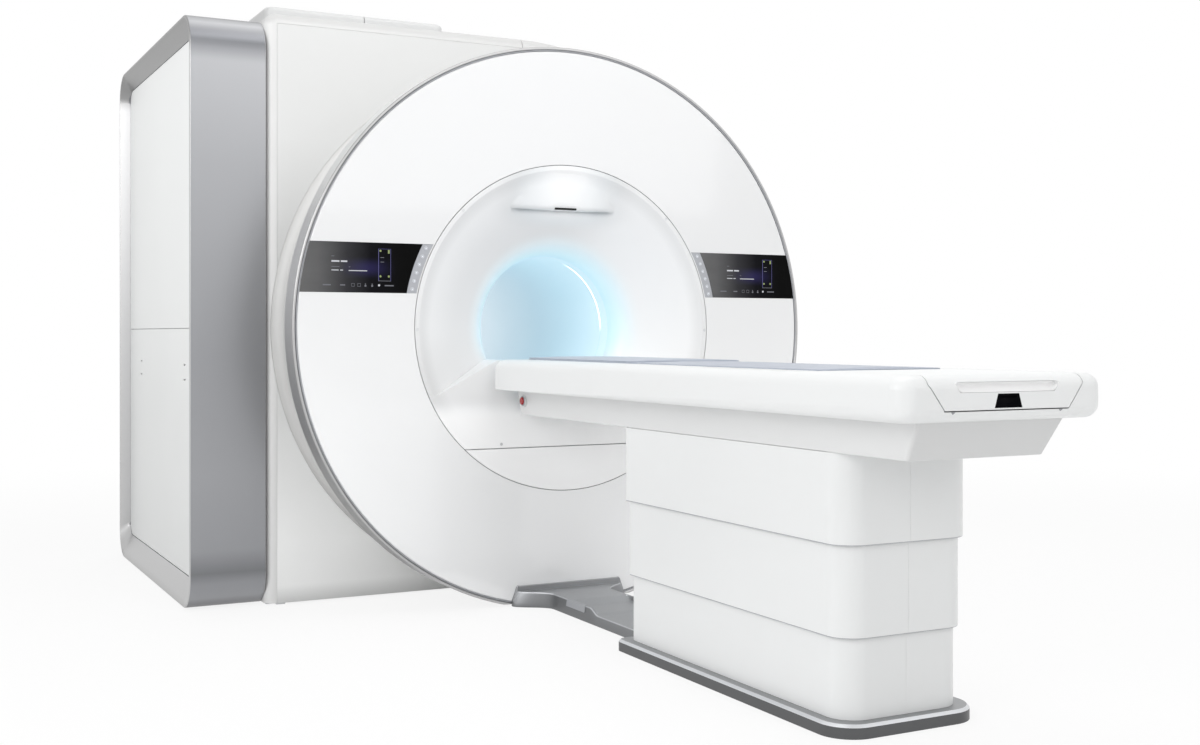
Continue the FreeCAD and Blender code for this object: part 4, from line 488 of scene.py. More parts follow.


# Painted light and shade by the way the metal faces, from down (0) through aside (0.5) to up
# (1): dark sides and a painted highlight on the bevel.
BASE_LIGHT_AND_SHADE = [
    (0.0, 0.16), (0.35, 0.18), (0.50, 0.22), (0.62, 0.50), (0.85, 1.40), (0.96, 0.74), (1.0, 0.64)
]
TRAY_LIGHT_AND_SHADE = [
    (0.0, 0.20), (0.35, 0.26), (0.50, 0.34), (0.62, 0.70), (0.80, 1.60), (0.96, 0.98), (1.0, 0.92)
]
mats = {
    "cover_white": painted(
        "disc_lacquer", (0.92, 0.925, 0.93), 0.12, 1.0, 300, 0.008, 0.01,
        # Painted shade: the disc darker toward its top.
        rise=[(0.10, 1.0), (0.30, 0.97), (0.55, 0.88), (0.85, 0.85)],
    ),
    "bezel_white": flare_white("bezel_moulding", (0.90, 0.905, 0.91)),
    "body_white": painted(
        "enclosure_paint", (0.82, 0.82, 0.815), 0.42, 0.0, 500, 0.03, 0.02,
        # Painted shade where the covers face up and where they face -Y.
        facing_shade=[("Z", [(0.5, 1.0), (0.7, 0.82), (1.0, 0.78)]), ("Y", [(0.0, 0.92), (0.3, 1.0)])],
    ),
    "rim_metal": rim_metal("rim_alloy"),
    "band_silver": band_metal("band_silver"),
    "panel_white": painted(
        "cabinet_panel", (0.93, 0.945, 0.94), 0.38, 0.0, 500, 0.03, 0.02,
        # Painted shade, darker toward the floor.
        rise=[(0.04, 0.77), (0.30, 0.82), (0.50, 0.91), (0.70, 0.96), (0.92, 1.0)],
    ),
    "display_black": display_glass("display_glass"),
    "key_grey": painted("keypad_foil", (0.42, 0.43, 0.46), 0.35, 0.2, 500, 0.04),
    "window_black": glass_black("camera_window", 0.1),
    "vessel_steel": metal("vessel_steel", (0.55, 0.56, 0.57), 0.42, (1, 1, 1), 300),
    "coil_resin": painted("coil_resin", (0.62, 0.50, 0.28), 0.5, 0.0, 400, 0.1, 0.1),
    "coil_copper": metal("coil_copper", (0.72, 0.42, 0.26), 0.3, (1, 9, 1), 400),
    "liner_white": bore_white("bore_lining"),
    "light_guide": light_guide("light_guide"),
    "frame_metal": metal("frame_alloy", (0.55, 0.56, 0.57), 0.5, (1, 1, 8), 500),
    "screw_steel": metal("screw_steel", (0.70, 0.71, 0.72), 0.3, (1, 1, 1), 900),
    "cooler_steel": metal("cooler_steel", (0.55, 0.56, 0.58), 0.35, (1, 1, 9), 700),
    "module_grey": painted("module_paint", (0.20, 0.21, 0.22), 0.5, 0.0, 500, 0.1),
    # Painted light and shade by facing; edges brightened as rubbed paint and painted highlight.
    "tray_grey": metal(
        "tray_paint", (0.44, 0.45, 0.465), 0.42, (5, 1, 1), 800, 0.05, 0.7, 1.5, TRAY_LIGHT_AND_SHADE
    ),
    "insert_light": painted("tray_insert", (0.36, 0.37, 0.39), 0.35),
    # Painted light and shade by facing; edges brightened as rubbed paint and painted highlight.
    "base_grey": metal(
        "base_paint", (0.52, 0.53, 0.545), 0.36, (1, 5, 1), 800, 0.05, 0.75, 1.5, BASE_LIGHT_AND_SHADE
    ),
    "pedestal_white": painted(
        "pedestal_cover", (0.83, 0.84, 0.84), 0.33, 0.1, 500, 0.025, 0.015,
        # Painted shade where it faces -Y, under the tabletop's overhang.
        facing_shade=[("Y", [(0.0, 0.94), (0.35, 1.0)])],
    ),
    "column_steel": metal("column_chrome", (0.72, 0.73, 0.74), 0.15, (1, 1, 12), 900, 0.03),
    "beam_white": painted(
        "beam_paint", (0.75, 0.755, 0.755), 0.34, 0.0, 500, 0.03, 0.015,
        # Painted shade where it faces -Y, under the tabletop's overhang.
        facing_shade=[("Y", [(0.0, 0.86), (0.35, 1.0)])],
    ),
    "top_white": painted("tabletop_moulding", (0.83, 0.84, 0.84), 0.34, 0.0, 420, 0.02, 0.01),
    # Painted light: a paler white for the handle slot's lining.
    "grip_white": painted("grip_lining", (0.93, 0.93, 0.93), 0.3, 0.0, 420, 0.02, 0.01),
    "cradle_white": painted("cradle_moulding", (0.84, 0.85, 0.85), 0.34, 0.0, 420, 0.02, 0.01),
    "rail_grey": painted("rail_polymer", (0.30, 0.31, 0.33), 0.45, 0.0, 500, 0.05),
    "catch_black": glass_black("catch_gloss", 0.5, 0.0),
    "mattress_grey": leather("mattress_cover", (0.415, 0.455, 0.54)),
    "belt_black": rubber("drive_belt"),
    "pulley_metal": metal("pulley_alloy", (0.66, 0.67, 0.68), 0.3, (1, 1, 1), 600),
    "motor_dark": painted("motor_paint", (0.06, 0.06, 0.065), 0.4, 0.0, 500, 0.1),
    "stop_red": painted("stop_red", (0.42, 0.014, 0.018), 0.25, 0.5, 500, 0.02, 0.1),
}

# Painted light and shade by height, from the floor (0) up to 2.5 m (1).
WALL_LIGHT_AND_SHADE = [
    (0.0, 0.80), (0.03, 1.26), (0.10, 1.30), (0.25, 1.12), (0.42, 0.90), (0.55, 0.86), (0.75, 0.97)
]
COLLAR_SHADE = [(0.0, 0.60), (0.12, 0.72), (0.22, 0.78), (0.35, 0.82), (0.50, 0.90), (0.80, 0.97)]
# Painted shade: a darker copy of the enclosure paint for the turret covers.
turret_shaded_paint = painted("turret_shaded_paint", (0.68, 0.685, 0.685), 0.42, 0.0, 500, 0.03)
# Copies of the enclosure paint with painted light and shade of their own.
lit_and_shaded_copies = {
    "body_front_panel": painted(
        "front_wall", (0.76, 0.765, 0.76), 0.42, 0.0, 500, 0.03, rise=WALL_LIGHT_AND_SHADE
    ),
    "collar_cover": painted(
        "collar_paint", (0.76, 0.76, 0.75), 0.42, 0.0, 500, 0.03, rise=COLLAR_SHADE
    ),
    "turret_cover_left": turret_shaded_paint,
    "turret_cover_right": turret_shaded_paint,
}

# Painted light: the slot's lining glows faintly white, for the room's light deep in the cradle's
# end.
grip = mats["grip_white"].node_tree.nodes["Principled BSDF"]
grip.inputs["Emission Color"].default_value = (1, 1, 1, 1)
grip.inputs["Emission Strength"].default_value = 0.05

slots = {row["node"]: row["material_slot"] for row in frame["record"]["subparts"]}
for name, obj in nodes.items():
    obj.data.materials.clear()
    obj.data.materials.append(lit_and_shaded_copies.get(name, mats[slots[name]]))


# ---------------------------------------------------------------------- mesh building
def new_object(name, mesh, material, body, smooth=True):
    """A piece of the scene, made of a material, that rides on a body."""
    obj = bpy.data.objects.new(name, mesh)
    bpy.context.scene.collection.objects.link(obj)
    mesh.materials.append(material)
    if smooth:
        for polygon in mesh.polygons:
            polygon.use_smooth = True
    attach(obj, body)
    return obj


def mesh_from(verts, faces):
    mesh = bpy.data.meshes.new("form")
    mesh.from_pydata([tuple(v) for v in verts], [], faces)
    mesh.update()
    return mesh


def flat_areas(mesh, keys):
    """For each face, the area of the flat region that it is part of."""
    flat = 0.999995
    region = list(range(len(mesh.polygons)))

    def root(i):
        while region[i] != i:
            region[i] = region[region[i]]
            i = region[i]
        return i

    sides = {}
    for face in mesh.polygons:
        corners = [keys[v] for v in face.vertices]
        for a, b in zip(corners, corners[1:] + corners[:1]):
            other = sides.setdefault((min(a, b), max(a, b)), face.index)
            if other != face.index and face.normal.dot(mesh.polygons[other].normal) > flat:
                region[root(face.index)] = root(other)
    totals = {}
    for face in mesh.polygons:
        totals[root(face.index)] = totals.get(root(face.index), 0) + face.area
    return [totals[root(i)] for i in range(len(region))]


def smooth_by_angle(obj, degrees=35):
    """Smooth shading within an angle, where large flat faces set the normals of the small
    ones beside them, so that they stay flat up to their rounded edges."""
    mesh = obj.data
    keys = [tuple(round(c, 5) for c in vertex.co) for vertex in mesh.vertices]
    areas = flat_areas(mesh, keys)
    normals = [face.normal.copy() for face in mesh.polygons]
    around = {}
    for face in mesh.polygons:
        for v in face.vertices:
            around.setdefault(keys[v], []).append(face.index)
    limit = math.cos(math.radians(degrees))
    result = []
    for face in mesh.polygons:
        own = normals[face.index]
        for v in face.vertices:
            total = own * areas[face.index]
            for other in around[keys[v]]:
                if other != face.index and own.dot(normals[other]) > limit:
                    total += normals[other] * areas[other]
            result.append(total.normalized() if total.length > 1e-12 else own)
    for face in mesh.polygons:
        face.use_smooth = True
    mesh.normals_split_custom_set(result)


for obj in nodes.values():
    smooth_by_angle(obj)


def tube(name, points, radius, material, body, closed=False):
    """A round bead along a line of points."""
    curve = bpy.data.curves.new(name, "CURVE")
    curve.dimensions = "3D"
    spline = curve.splines.new("POLY")
    spline.points.add(len(points) - 1)
    for place, point in zip(spline.points, points):
        place.co = (*point, 1.0)
    spline.use_cyclic_u = closed
    curve.bevel_depth = radius
    curve.bevel_resolution = 2
    holder = bpy.data.objects.new(name + "_path", curve)
    bpy.context.scene.collection.objects.link(holder)
    deps = bpy.context.evaluated_depsgraph_get()
    mesh = bpy.data.meshes.new_from_object(holder.evaluated_get(deps))
    bpy.data.objects.remove(holder)
    return new_object(name, mesh, material, body)


def joined(name, meshes, material, body):
    """Several lists of (verts, faces) as one object."""
    verts, faces = [], []
    for some_verts, some_faces in meshes:
        start = len(verts)
        verts += some_verts
        faces += [tuple(i + start for i in face) for face in some_faces]
    return new_object(name, mesh_from(verts, faces), material, body, smooth=False)


def on_disc(x, z, lift):
    """A point of the display glass, by its place across and up, at a lift in front of it."""
    return (x, DISC_Y - lift, z)


def flat_shape(points, lift=0.0004):
    """A flat shape on the glass, facing the room."""
    verts = [on_disc(x, z, lift) for x, z in points]
    return verts, [tuple(range(len(verts)))]


def bar(x0, z0, x1, z1):
    return flat_shape([(x0, z0), (x1, z0), (x1, z1), (x0, z1)])


def round_points(x, z, radius, count):
    turns = [2 * math.pi * i / count for i in range(count)]
    return [(x + radius * math.cos(a), z + radius * math.sin(a)) for a in turns]


def dot(x, z, radius, sides=20, lift=0.0004):
    return flat_shape(round_points(x, z, radius, sides), lift)


def square_outline(x, z, half, line):
    """A thin square about a place, of four bars."""
    x0, x1, z0, z1 = x - half, x + half, z - half, z + half
    return [
        bar(x0, z0, x1, z0 + line),
        bar(x0, z1 - line, x1, z1),
        bar(x0, z0 + line, x0 + line, z1 - line),
        bar(x1 - line, z0 + line, x1, z1 - line),
    ]


def swept(rings):
    """Rings of points, skinned from each to the next and closed at both ends."""
    width = len(rings[0])
    verts = [point for ring in rings for point in ring]
    faces = [tuple(range(width)), tuple(range(len(verts) - 1, len(verts) - 1 - width, -1))]
    for start in range(0, len(verts) - width, width):
        for i in range(width):
            a, b = start + i, start + (i + 1) % width
            faces.append((a, a + width, b + width, b))
    return verts, faces


# ----------------------------------------------------------------------------- displays
screen_white = glowing("screen_white", (0.92, 0.95, 1.0), 0.62)
screen_grey = glowing("screen_grey", (0.6, 0.62, 0.68), 0.22)
screen_blue = glowing("screen_blue", (0.16, 0.15, 0.55), 0.42)
screen_lime = glowing("screen_lime", (0.50, 0.62, 0.18), 0.50)
keylight = glowing("key_light", (0.93, 0.96, 1.0), 1.0)


def screen(side, left):
    """The status screen: a plan of the table, value bars and a row of icons, with no words.
    Places and lengths on it are shares of its width and height."""
    width = 0.555

    def at(across, up):
        return left + across * width, DISPLAY_LOW + up * (DISPLAY_HIGH - DISPLAY_LOW)

    def line(across, up, length, height):
        x, z = at(across, up)
        return bar(x, z, x + length * width, z + height)

    bright = [line(0.27, 0.60, 0.055, 0.0058), line(0.335, 0.60, 0.045, 0.0058)]
    bright += [line(0.27, 0.43, 0.05, 0.0032), line(0.33, 0.43, 0.02, 0.0032)]
    bright += [line(0.39, 0.425, 0.13, 0.0032)]
    dim = [line(0.27, 0.71, 0.02, 0.002), line(0.27, 0.50, 0.055, 0.002)]
    dim += [line(0.39, 0.50, 0.012, 0.002)]
    dim += [line(0.615, up, 0.026, 0.0022) for up in (0.70, 0.61)]

    # The plan of the table, with its four marks.
    x0, z0 = at(0.60, 0.24)
    x1, z1 = at(0.69, 0.88)
    blue = [
        bar(x0, z0, x0 + 0.0022, z1),
        bar(x1 - 0.0016, z0, x1, z1),
        bar(x0, z1 - 0.0010, x1, z1),
    ]
    dim.append(bar(x0, z0 - 0.0012, x1, z0 + 0.0006))
    lime = [dot(*at(*place), 0.0042) for place in ((0.615, 0.84), (0.615, 0.33), (0.675, 0.33))]
    x, z = at(0.675, 0.82)
    lime.append(bar(x - 0.0035, z - 0.006, x + 0.0035, z + 0.008))

    # The lowest row: bars, squares, figures and a dot.
    for across, length in ((0.21, 0.055), (0.33, 0.035), (0.645, 0.065)):
        dim.append(line(across, 0.135, length, 0.0042))
    for across in (0.420, 0.463):
        dim += square_outline(*at(across, 0.15), 0.0062, 0.0012)
    for across in (0.508, 0.556):
        x, z = at(across, 0.15)
        dim.append(dot(x, z + 0.004, 0.0022, 12))
        dim.append(bar(x - 0.0035, z - 0.006, x + 0.0035, z + 0.0005))
    bright.append(dot(*at(0.605, 0.15), 0.0042))
    for word, shapes, material in (
        ("bright", bright, screen_white),
        ("dim", dim, screen_grey),
        ("blue", blue, screen_blue),
        ("lime", lime, screen_lime),
    ):
        joined(f"screen_{side}_{word}", shapes, material, "gantry")


screen("left", -1.139)
screen("right", 0.614)


def display_edge(side, hand):
    """The strip of glass print that runs from the display out to the rim."""
    verts = []
    steps = 12
    for i in range(steps + 1):
        z = DISPLAY_LOW + (DISPLAY_HIGH - DISPLAY_LOW) * i / steps
        for radius in (1.1110, 1.1190):
            verts.append(on_disc(hand * math.sqrt(radius**2 - (z - BORE_Z) ** 2), z, 0.0003))
    faces = [(2 * i, 2 * i + 1, 2 * i + 3, 2 * i + 2) for i in range(steps)]
    name = f"display_edge_{side}"
    joined(name, [(verts, faces)], mats["display_black"], "gantry")


display_edge("left", -1)
display_edge("right", 1)


def rim_seal():
    """The thin pale seal that lies in the joint between the disc and its rim, from just above
    the floor on one side to the same height on the other."""
    radius = 1.1228
    steps = 180
    low = math.asin((0.013 - BORE_Z) / radius)
    sweep = math.pi - 2 * low
    line = []
    for i in range(steps + 1):
        angle = low + sweep * i / steps
        line.append((radius * math.cos(angle), DISC_Y + 0.0022, BORE_Z + radius * math.sin(angle)))
    tube("rim_seal", line, 0.0019, mats["key_grey"], "gantry")


rim_seal()


def key_lights(side, hand):
    """Small lit marks on the keys: a dot in a ring on each."""
    keys, points = 6, 24
    shapes = []
    for i in range(keys):
        z = KEYS_LOW + KEYS_HEIGHT / keys * (i + 0.5)
        x = hand * math.sqrt(KEYS_RADIUS**2 - (z - BORE_Z) ** 2)
        shapes.append(dot(x, z, 0.0026, 16, 0.0005))
        inner, outer = (round_points(x, z, radius, points) for radius in (0.0056, 0.0066))
        ring = [on_disc(*point, 0.0003) for pair in zip(inner, outer) for point in pair]
        turns = range(0, 2 * points, 2)
        faces = [(k, k + 1, (k + 3) % len(ring), (k + 2) % len(ring)) for k in turns]
        shapes.append((ring, faces))
    joined(f"key_lights_{side}", shapes, keylight, "gantry")


key_lights("left", -1)
key_lights("right", 1)


# --------------------------------------------------------------------------- small parts
def lathe(profile, centre, turn, sides=40):
    """A closed profile of (along, radius) turned about an axis through a centre: X or Y."""
    verts = []
    for k in range(sides):
        angle = 2 * math.pi * k / sides
        for along, radius in profile:
            a = radius * math.cos(angle)
            b = radius * math.sin(angle)
            offset = (along, a, b) if turn == "X" else (b, along, a)
            verts.append(tuple(c + o for c, o in zip(centre, offset)))
    count = len(profile)
    faces = []
    for k in range(sides):
        here = k * count
        there = (k + 1) % sides * count
        for i in range(count):
            n = (i + 1) % count
            faces.append((here + i, here + n, there + n, there + i))
    return verts, faces


def stop_collar(side, hand):
    """The dark guard ring that the stop button sits in."""
    low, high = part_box(f"stop_button_{side}")
    housing = 0.248
    centre = (hand * housing, (low.y + high.y) / 2, (low.z + high.z) / 2)
    profile = [(0.0, 0.0162), (0.0022, 0.0166), (0.003, 0.0178), (0.0022, 0.0196), (0.0, 0.0202)]
    ring = lathe([(hand * along, radius) for along, radius in profile], centre, "X")
    piece = joined(f"stop_collar_{side}", [ring], mats["key_grey"], "table_carriage")
    smooth_by_angle(piece, 50)


stop_collar("left", -1)
stop_collar("right", 1)


def ease(value, low, high):
    """A smooth step from 0 at the low limit to 1 at the high one."""
    t = min(max((value - low) / (high - low), 0), 1)
    return t * t * (3 - 2 * t)


def tray_cover():
    """The floor tray's moulded cover: flared against the gantry, it steps down to the table's
    base between two lips."""
    flange = DISC_Y - 0.0006
    # Distances from the gantry, close together where the flare and the steps bend.
    stations = [0.0, 0.004, 0.010, 0.013] + [0.018 + 0.008 * i for i in range(24)]
    stations += [0.25, 0.272, 0.29, 0.32, 0.345, 0.36, 0.38, 0.40, 0.42, 0.44, 0.455, 0.47, 0.485]
    stations += [0.50, 0.52, 0.533, 0.54, 0.60, 0.70, 0.80, flange - TRAY_END]
    rings = []
    for out in stations:
        y = flange - out
        half = 0.128 + 0.104 * (1 - ease(out, 0.012, 0.150)) ** 1.6
        foot = half + 0.004 + 0.016 * (1 - ease(out, 0.0, 0.12))
        lip = TRAY_LIP - 0.0205 * ease(out, 0.440, 0.500)
        floor_z = 0.0585 - 0.0165 * ease(out, 0.262, 0.340) - 0.006 * ease(out, 0.528, 0.545)
        if out < 0.012:
            lip = floor_z = 0.080 - 0.3 * max(out - 0.004, 0)
        left = [(foot, 0.0004), (foot - 0.001, lip * 0.3), (half + 0.001, lip - 0.006)]
        left += [(half - 0.0008, lip - 0.0018), (half - 0.003, lip), (half - 0.0085, lip)]
        left += [(half - 0.0115, min(floor_z, lip - 0.0012))]
        rings.append([(-x, y, z) for x, z in left] + [(x, y, z) for x, z in reversed(left)])
    piece = joined("tray_cover", [swept(rings)], mats["tray_grey"], "gantry")
    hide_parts("floor_tray")
    smooth_by_angle(piece, 40)


tray_cover()


def lip_clip():
    """The pale clip that wraps over the tray's left lip, thinner at its two ends."""
    rings = []
    for y, lift in ((-1.320, 0.0004), (-1.3215, 0.0016), (-1.4735, 0.0016), (-1.475, 0.0004)):
        outline = [(-0.1325 - lift, 0.034), (-0.1300 - lift, 0.0538), (-0.1288 - lift, 0.0580)]
        outline += [(-0.1252, TRAY_LIP + lift), (-0.1190, TRAY_LIP + lift), (-0.1175, 0.0590)]
        outline += [(-0.1210, 0.0560), (-0.1270, 0.0340)]
        rings.append([(x, y, z) for x, z in outline])
    piece = joined("lip_clip", [swept(rings)], mats["insert_light"], "gantry")
    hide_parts("tray_lip_insert")
    smooth_by_angle(piece, 40)


lip_clip()


def outline_of(node_names, height):
    """The plan outline, as a convex ring of points, of what the nodes have near a height."""
    near = 0.004
    spots = set()
    for name in node_names:
        for vertex in nodes[name].data.vertices:
            if abs(vertex.co.z - height) < near:
                spots.add((round(vertex.co.x, 4), round(vertex.co.y, 4)))
    spots = sorted(spots)

    def half(points):
        chain = []
        for point in points:
            while len(chain) > 1:
                (ax, ay), (bx, by) = chain[-2:]
                if (bx - ax) * (point[1] - ay) - (by - ay) * (point[0] - ax) > 0:
                    break
                chain.pop()
            chain.append(point)
        return chain[:-1]

    return half(spots) + half(spots[::-1])


def wiper_and_joint_shade(stage, body):
    """A grey seal round the lower edge of a telescoping cover, which also stands in for the shade
    in the joint under it.
    """
    covers = [f"{stage}_cover_left", f"{stage}_cover_right"]
    low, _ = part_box(covers[0])
    line = []
    for x, y in outline_of(covers, low.z):
        inward = Vector((-x, PEDESTAL_Y - y, 0)).normalized() * 0.0022
        line.append((x + inward.x, y + inward.y, low.z - 0.0006))
    tube(f"{stage}_wiper", line, 0.0017, mats["key_grey"], body, closed=True)


wiper_and_joint_shade("middle", "middle_stage")
wiper_and_joint_shade("upper", "table_carriage")


def camera_eye():
    """The patient camera's lens and its two small lamps behind the smoked window."""
    low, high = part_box("camera_window")
    shapes = []
    middle = (low.z + high.z) / 2
    for x, radius in ((0.0, 0.0022), (-0.018, 0.0011), (0.018, 0.0011)):
        profile = [(0.0005, 0.0), (-0.0006, radius * 0.5), (-0.0002, radius), (0.0008, radius)]
        shapes.append(lathe(profile, (x, low.y, middle), "Y", 24))
    piece = joined("camera_eye", shapes, mats["catch_black"], "gantry")
    smooth_by_angle(piece, 50)


camera_eye()


def runner_notch_shades():
    """Two small flat V marks in the runners' dark grey on the tabletop's end, where the cradle's
    runners leave it: painted shade of the notches there.
    """
    low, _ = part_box("tabletop_frame")
    bend = TABLE_ROUND
    foot = TABLE_FOOT + bend

    def face_at(z):
        """The end face with its rounded foot."""
        return low.y + bend - math.sqrt(bend**2 - max(foot - z, 0) ** 2) - 0.0004

    shapes = []
    for x in (-0.179, 0.179):
        points = [(x - 0.007, 0.8935), (x - 0.004, 0.8895), (x, 0.8865), (x + 0.004, 0.8895)]
        points.append((x + 0.007, 0.8935))
        verts = [(across, face_at(z), z) for across, z in points]
        shapes.append((verts, [(0, 1, 4), (1, 3, 4), (1, 2, 3)]))
    joined("runner_notch_shades", shapes, mats["rail_grey"], "table_carriage")


runner_notch_shades()


def grip_lining():
    """The smooth pale lining of the handle slot, a thin trough with rounded corners; its paler
    white and faint glow are painted light.
    """
    low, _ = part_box("cradle")
    corner, steps = 0.0085, 6
    corners = [(-0.158, 0.940), (0.158, 0.940), (0.175, 0.966), (-0.175, 0.966)]
    outline = []
    for i, place in enumerate(corners):
        here = Vector(place)
        before = Vector(corners[i - 1]) - here
        after = Vector(corners[(i + 1) % len(corners)]) - here
        start = here + before.normalized() * corner
        end = here + after.normalized() * corner
        for k in range(steps + 1):
            t = k / steps
            outline.append(start * (1 - t) ** 2 + here * 2 * t * (1 - t) + end * t**2)

    # From the back of the trough to its mouth: the depth, and the shares of the outline's
    # height above the back's level and of its width.
    middle, level, depth = 0.953, 0.0085, 0.0225
    sections = [(depth, 0.0, 0.55), (0.022, 0.9, 0.80), (0.019, 0.97, 0.93), (0.013, 1.0, 1.0)]
    sections.append((0.0008, 1.0, 1.0))
    verts = [(0, low.y + depth, middle + level)]
    for back, share, wide in sections:
        low_share = min(max((depth - back) / 0.0217, 0), 1) ** 0.5
        for point in outline:
            rise = (point.y - middle) * 0.955
            if rise < 0:
                rise = level * (1 - low_share) + rise * low_share
            elif rise > level:
                rise = level + (rise - level) * share
            verts.append((point.x * wide * 0.996, low.y + back, middle + rise))
    count = len(outline)
    faces = [(0, 1 + i, 1 + (i + 1) % count) for i in range(count)]
    for ring in range(len(sections) - 1):
        a = 1 + ring * count
        for i in range(count):
            n = (i + 1) % count
            faces.append((a + i, a + count + i, a + count + n, a + n))
    lining = [(verts, faces)]
    piece = joined("grip_lining", lining, mats["grip_white"], "cradle")
    smooth_by_angle(piece, 60)


grip_lining()


# ------------------------------------------------------------------------------ mattress
def pad(name, node):
    """A crowned pad that lies in the cradle's dish: rounded ends and sides, and a shallow
    seam across its middle."""
    low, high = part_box(node)
    x0, x1 = low.x + 0.001, high.x - 0.001
    y0, y1 = low.y + 0.001, high.y - 0.001
    seam = low.y + (high.y - low.y) * 0.5
    across = 36
    along = max(int((y1 - y0) / 0.03), 12)
    half = (x1 - x0) / 2
    radius = DISH_RADIUS - 0.0003
    centre = TABLE_TOP - DISH_DEPTH + DISH_RADIUS
    corner = 0.05

    def half_width(y):
        """Half the width at a station, drawn in round the pad's corners."""
        edge = min(y - y0, y1 - y)
        if edge >= corner:
            return half
        return half - corner + math.sqrt(max(corner**2 - (corner - edge) ** 2, 0))

    def bottom(x):
        return centre - math.sqrt(radius**2 - x**2) + 0.0004

    def top(x, u, y):
        """The upper skin: crowned to both sides and both ends, and drawn in at the seam."""
        end = math.sqrt(max(1 - (1 - min(min(y - y0, y1 - y) / 0.03, 1)) ** 2, 0))
        crown = math.sqrt(1 - abs(u) ** 8) * end
        foot = bottom(x) + 0.002
        z = foot + (high.z - 0.0045 * abs(u) ** 2.5 - foot) * (0.35 + 0.65 * crown)
        return z - 0.0026 * math.exp(-(((y - seam) / 0.006) ** 2))

    verts = []
    for upper in (False, True):
        for j in range(along + 1):
            t = j / along
            y = y0 + (y1 - y0) * (0.85 * t + 0.15 * (0.5 - 0.5 * math.cos(math.pi * t)))
            for i in range(across + 1):
                u = -1 + 2 * i / across
                x = half_width(y) * u
                verts.append((x, y, top(x, u, y) if upper else bottom(x)))
    row = across + 1
    layer = row * (along + 1)
    faces = []
    for j in range(along):
        for i in range(across):
            a = j * row + i
            faces.append((a, a + row, a + row + 1, a + 1))
            b = a + layer
            faces.append((b, b + 1, b + row + 1, b + row))
        a = j * row
        faces.append((a, a + layer, a + row + layer, a + row))
        b = a + across
        faces.append((b, b + row, b + row + layer, b + layer))
    for i in range(across):
        faces.append((i, i + 1, i + 1 + layer, i + layer))
        k = along * row + i
        faces.append((k, k + layer, k + 1 + layer, k + 1))
    mesh = mesh_from(verts, faces)
    obj = new_object(name, mesh, mats["mattress_grey"], "cradle")
    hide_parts(node)


def welt(name, node):
    """The sewn bead along a pad's upper edge."""
    low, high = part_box(node)
    corner, steps = 0.046, 8
    x = high.x - 0.004 - corner
    y0, y1 = low.y + 0.004 + corner, high.y - 0.004 - corner
    line = []
    for quarter, (cx, cy) in enumerate(((x, y1), (-x, y1), (-x, y0), (x, y0))):
        for k in range(steps + 1):
            angle = math.pi / 2 * (quarter + k / steps)
            point = (cx + corner * math.cos(angle), cy + corner * math.sin(angle))
            line.append((*point, high.z - 0.0052))
    tube(name, line, 0.0013, mats["mattress_grey"], "cradle", closed=True)


pad("mattress_body_cover", "mattress_body")
pad("mattress_head_cover", "mattress_head")
welt("mattress_body_welt", "mattress_body")
welt("mattress_head_welt", "mattress_head")


# ---------------------------------------------------------------------------- backdrop
def seen_rays(tree):
    """1 for the rays that show the backdrop, straight or in a reflection or glass, else 0."""
    path = tree.nodes.new("ShaderNodeLightPath")
    seen = path.outputs["Is Camera Ray"]
    for kind in ("Is Glossy Ray", "Is Transmission Ray"):
        either = tree.nodes.new("ShaderNodeMath")
        either.operation = "MAXIMUM"
        tree.links.new(seen, either.inputs[0])
        tree.links.new(path.outputs[kind], either.inputs[1])
        seen = either.outputs[0]
    return seen


def floor_material():
    """White floor: it shows the background's white with part of its own shading, so that the
    object's shadow stays, and all of that white further out."""
    g = Graph("studio_floor")
    g.set(Base_Color=(0.92, 0.92, 0.92), Roughness=0.75)
    glow = g.tree.nodes.new("ShaderNodeEmission")
    away = g.length(g.axis("X"), g.math("ADD", g.axis("Y"), 1.2))
    share = g.spread(away, 3.0, 7.5, 0.85, 1.0)
    mix = g.tree.nodes.new("ShaderNodeMixShader")
    g.link(g.times(seen_rays(g.tree), share), mix.inputs[0])
    g.link(g.shader.outputs[0], mix.inputs[1])
    g.link(glow.outputs[0], mix.inputs[2])
    g.link(mix.outputs[0], g.tree.nodes["Material Output"].inputs["Surface"])
    return g.material


FLOOR_HALF = 30
corners = [(-1, -1), (1, -1), (1, 1), (-1, 1)]
floor_mesh = mesh_from([(x * FLOOR_HALF, y * FLOOR_HALF, 0) for x, y in corners], [(0, 1, 2, 3)])
floor_mesh.materials.append(floor_material())
floor = bpy.data.objects.new("studio_floor", floor_mesh)
bpy.context.scene.collection.objects.link(floor)

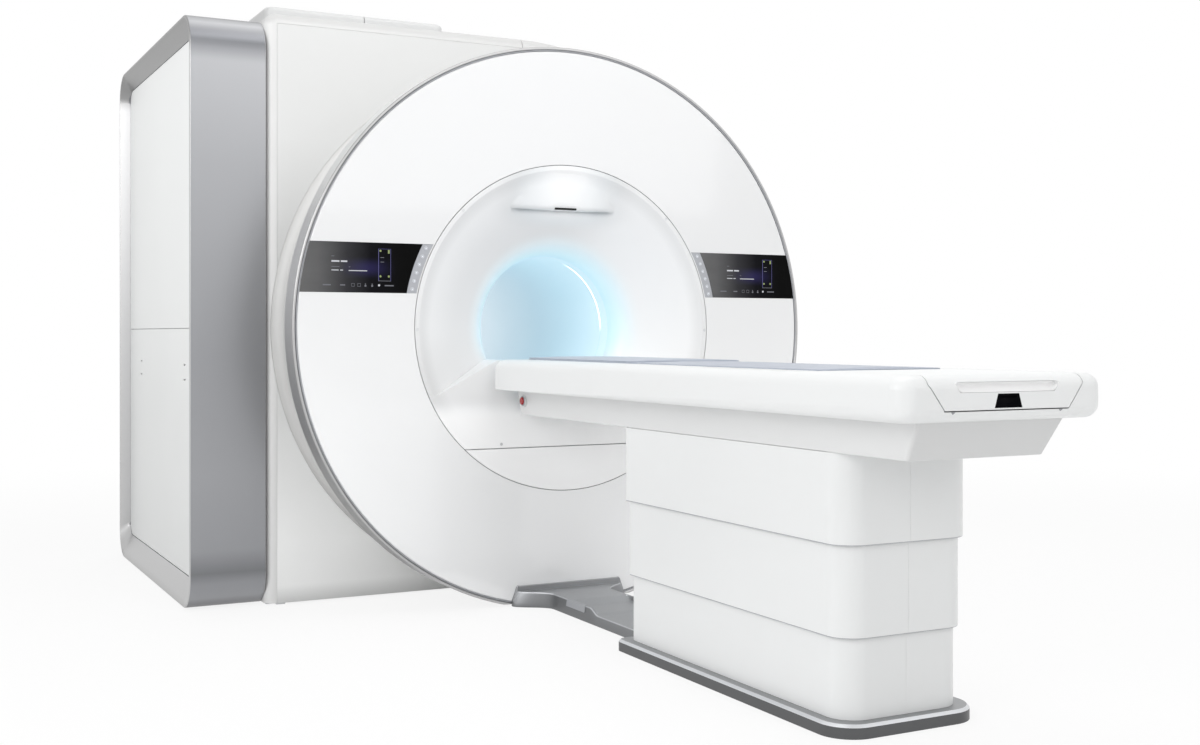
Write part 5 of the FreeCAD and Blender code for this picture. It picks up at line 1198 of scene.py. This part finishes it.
world = bpy.data.worlds.new("studio")
bpy.context.scene.world = world
world.use_nodes = True
tree = world.node_tree
background = tree.nodes["Background"]
background.inputs["Color"].default_value = (1, 1, 1, 1)
level = tree.nodes.new("ShaderNodeMapRange")
level.inputs["To Min"].default_value = 0.66
level.inputs["To Max"].default_value = 1.0
tree.links.new(seen_rays(tree), level.inputs["Value"])
tree.links.new(level.outputs["Result"], background.inputs["Strength"])


def area(name, place, target, size, power):
    """A soft lamp at a place, aimed at a target."""
    light = bpy.data.lights.new(name, "AREA")
    light.shape = "RECTANGLE"
    light.size, light.size_y = size
    light.energy = power
    obj = bpy.data.objects.new(name, light)
    obj.location = place
    aim = Vector(target) - Vector(place)
    obj.rotation_euler = aim.to_track_quat("-Z", "Y").to_euler()
    bpy.context.scene.collection.objects.link(obj)


area("key", (-6.2, -4.6, 3.8), (0, -1.6, 1.1), (4.5, 3.5), 148)
area("top", (0.5, -2.0, 6.2), (0, -1.2, 0), (5.0, 5.0), 32)
area("boom", (0.3, -2.8, 4.5), (0, -1.07, 1.3), (3.2, 1.6), 36)
area("front", (2.2, -8.5, 4.4), (0, -1.2, 1.2), (6.0, 4.5), 62)
area("back", (3.2, 7.6, 4.0), (0.2, 0.2, 1.1), (5.0, 4.0), 80)


# -------------------------------------------------------------------------------- camera
PHOTO_WIDTH, PHOTO_HEIGHT = 1200, 745
FOCAL_LENGTH, HORIZON_ROW = 1413.7, 333.85  # in the photo's pixels
SENSOR = 36
camera = bpy.data.cameras.new("photo_view")
camera.sensor_width = SENSOR
camera.lens = FOCAL_LENGTH / PHOTO_WIDTH * SENSOR
camera.shift_y = -(PHOTO_HEIGHT / 2 - HORIZON_ROW) / PHOTO_WIDTH
camera.clip_end = 200
eye = bpy.data.objects.new("photo_view", camera)
eye.location = (-2.5495, -6.226, 1.0852)
eye.rotation_euler = (math.radians(90), 0, math.radians(-27.594))
bpy.context.scene.collection.objects.link(eye)
bpy.context.scene.camera = eye

bpy.context.scene.view_settings.view_transform = "Standard"
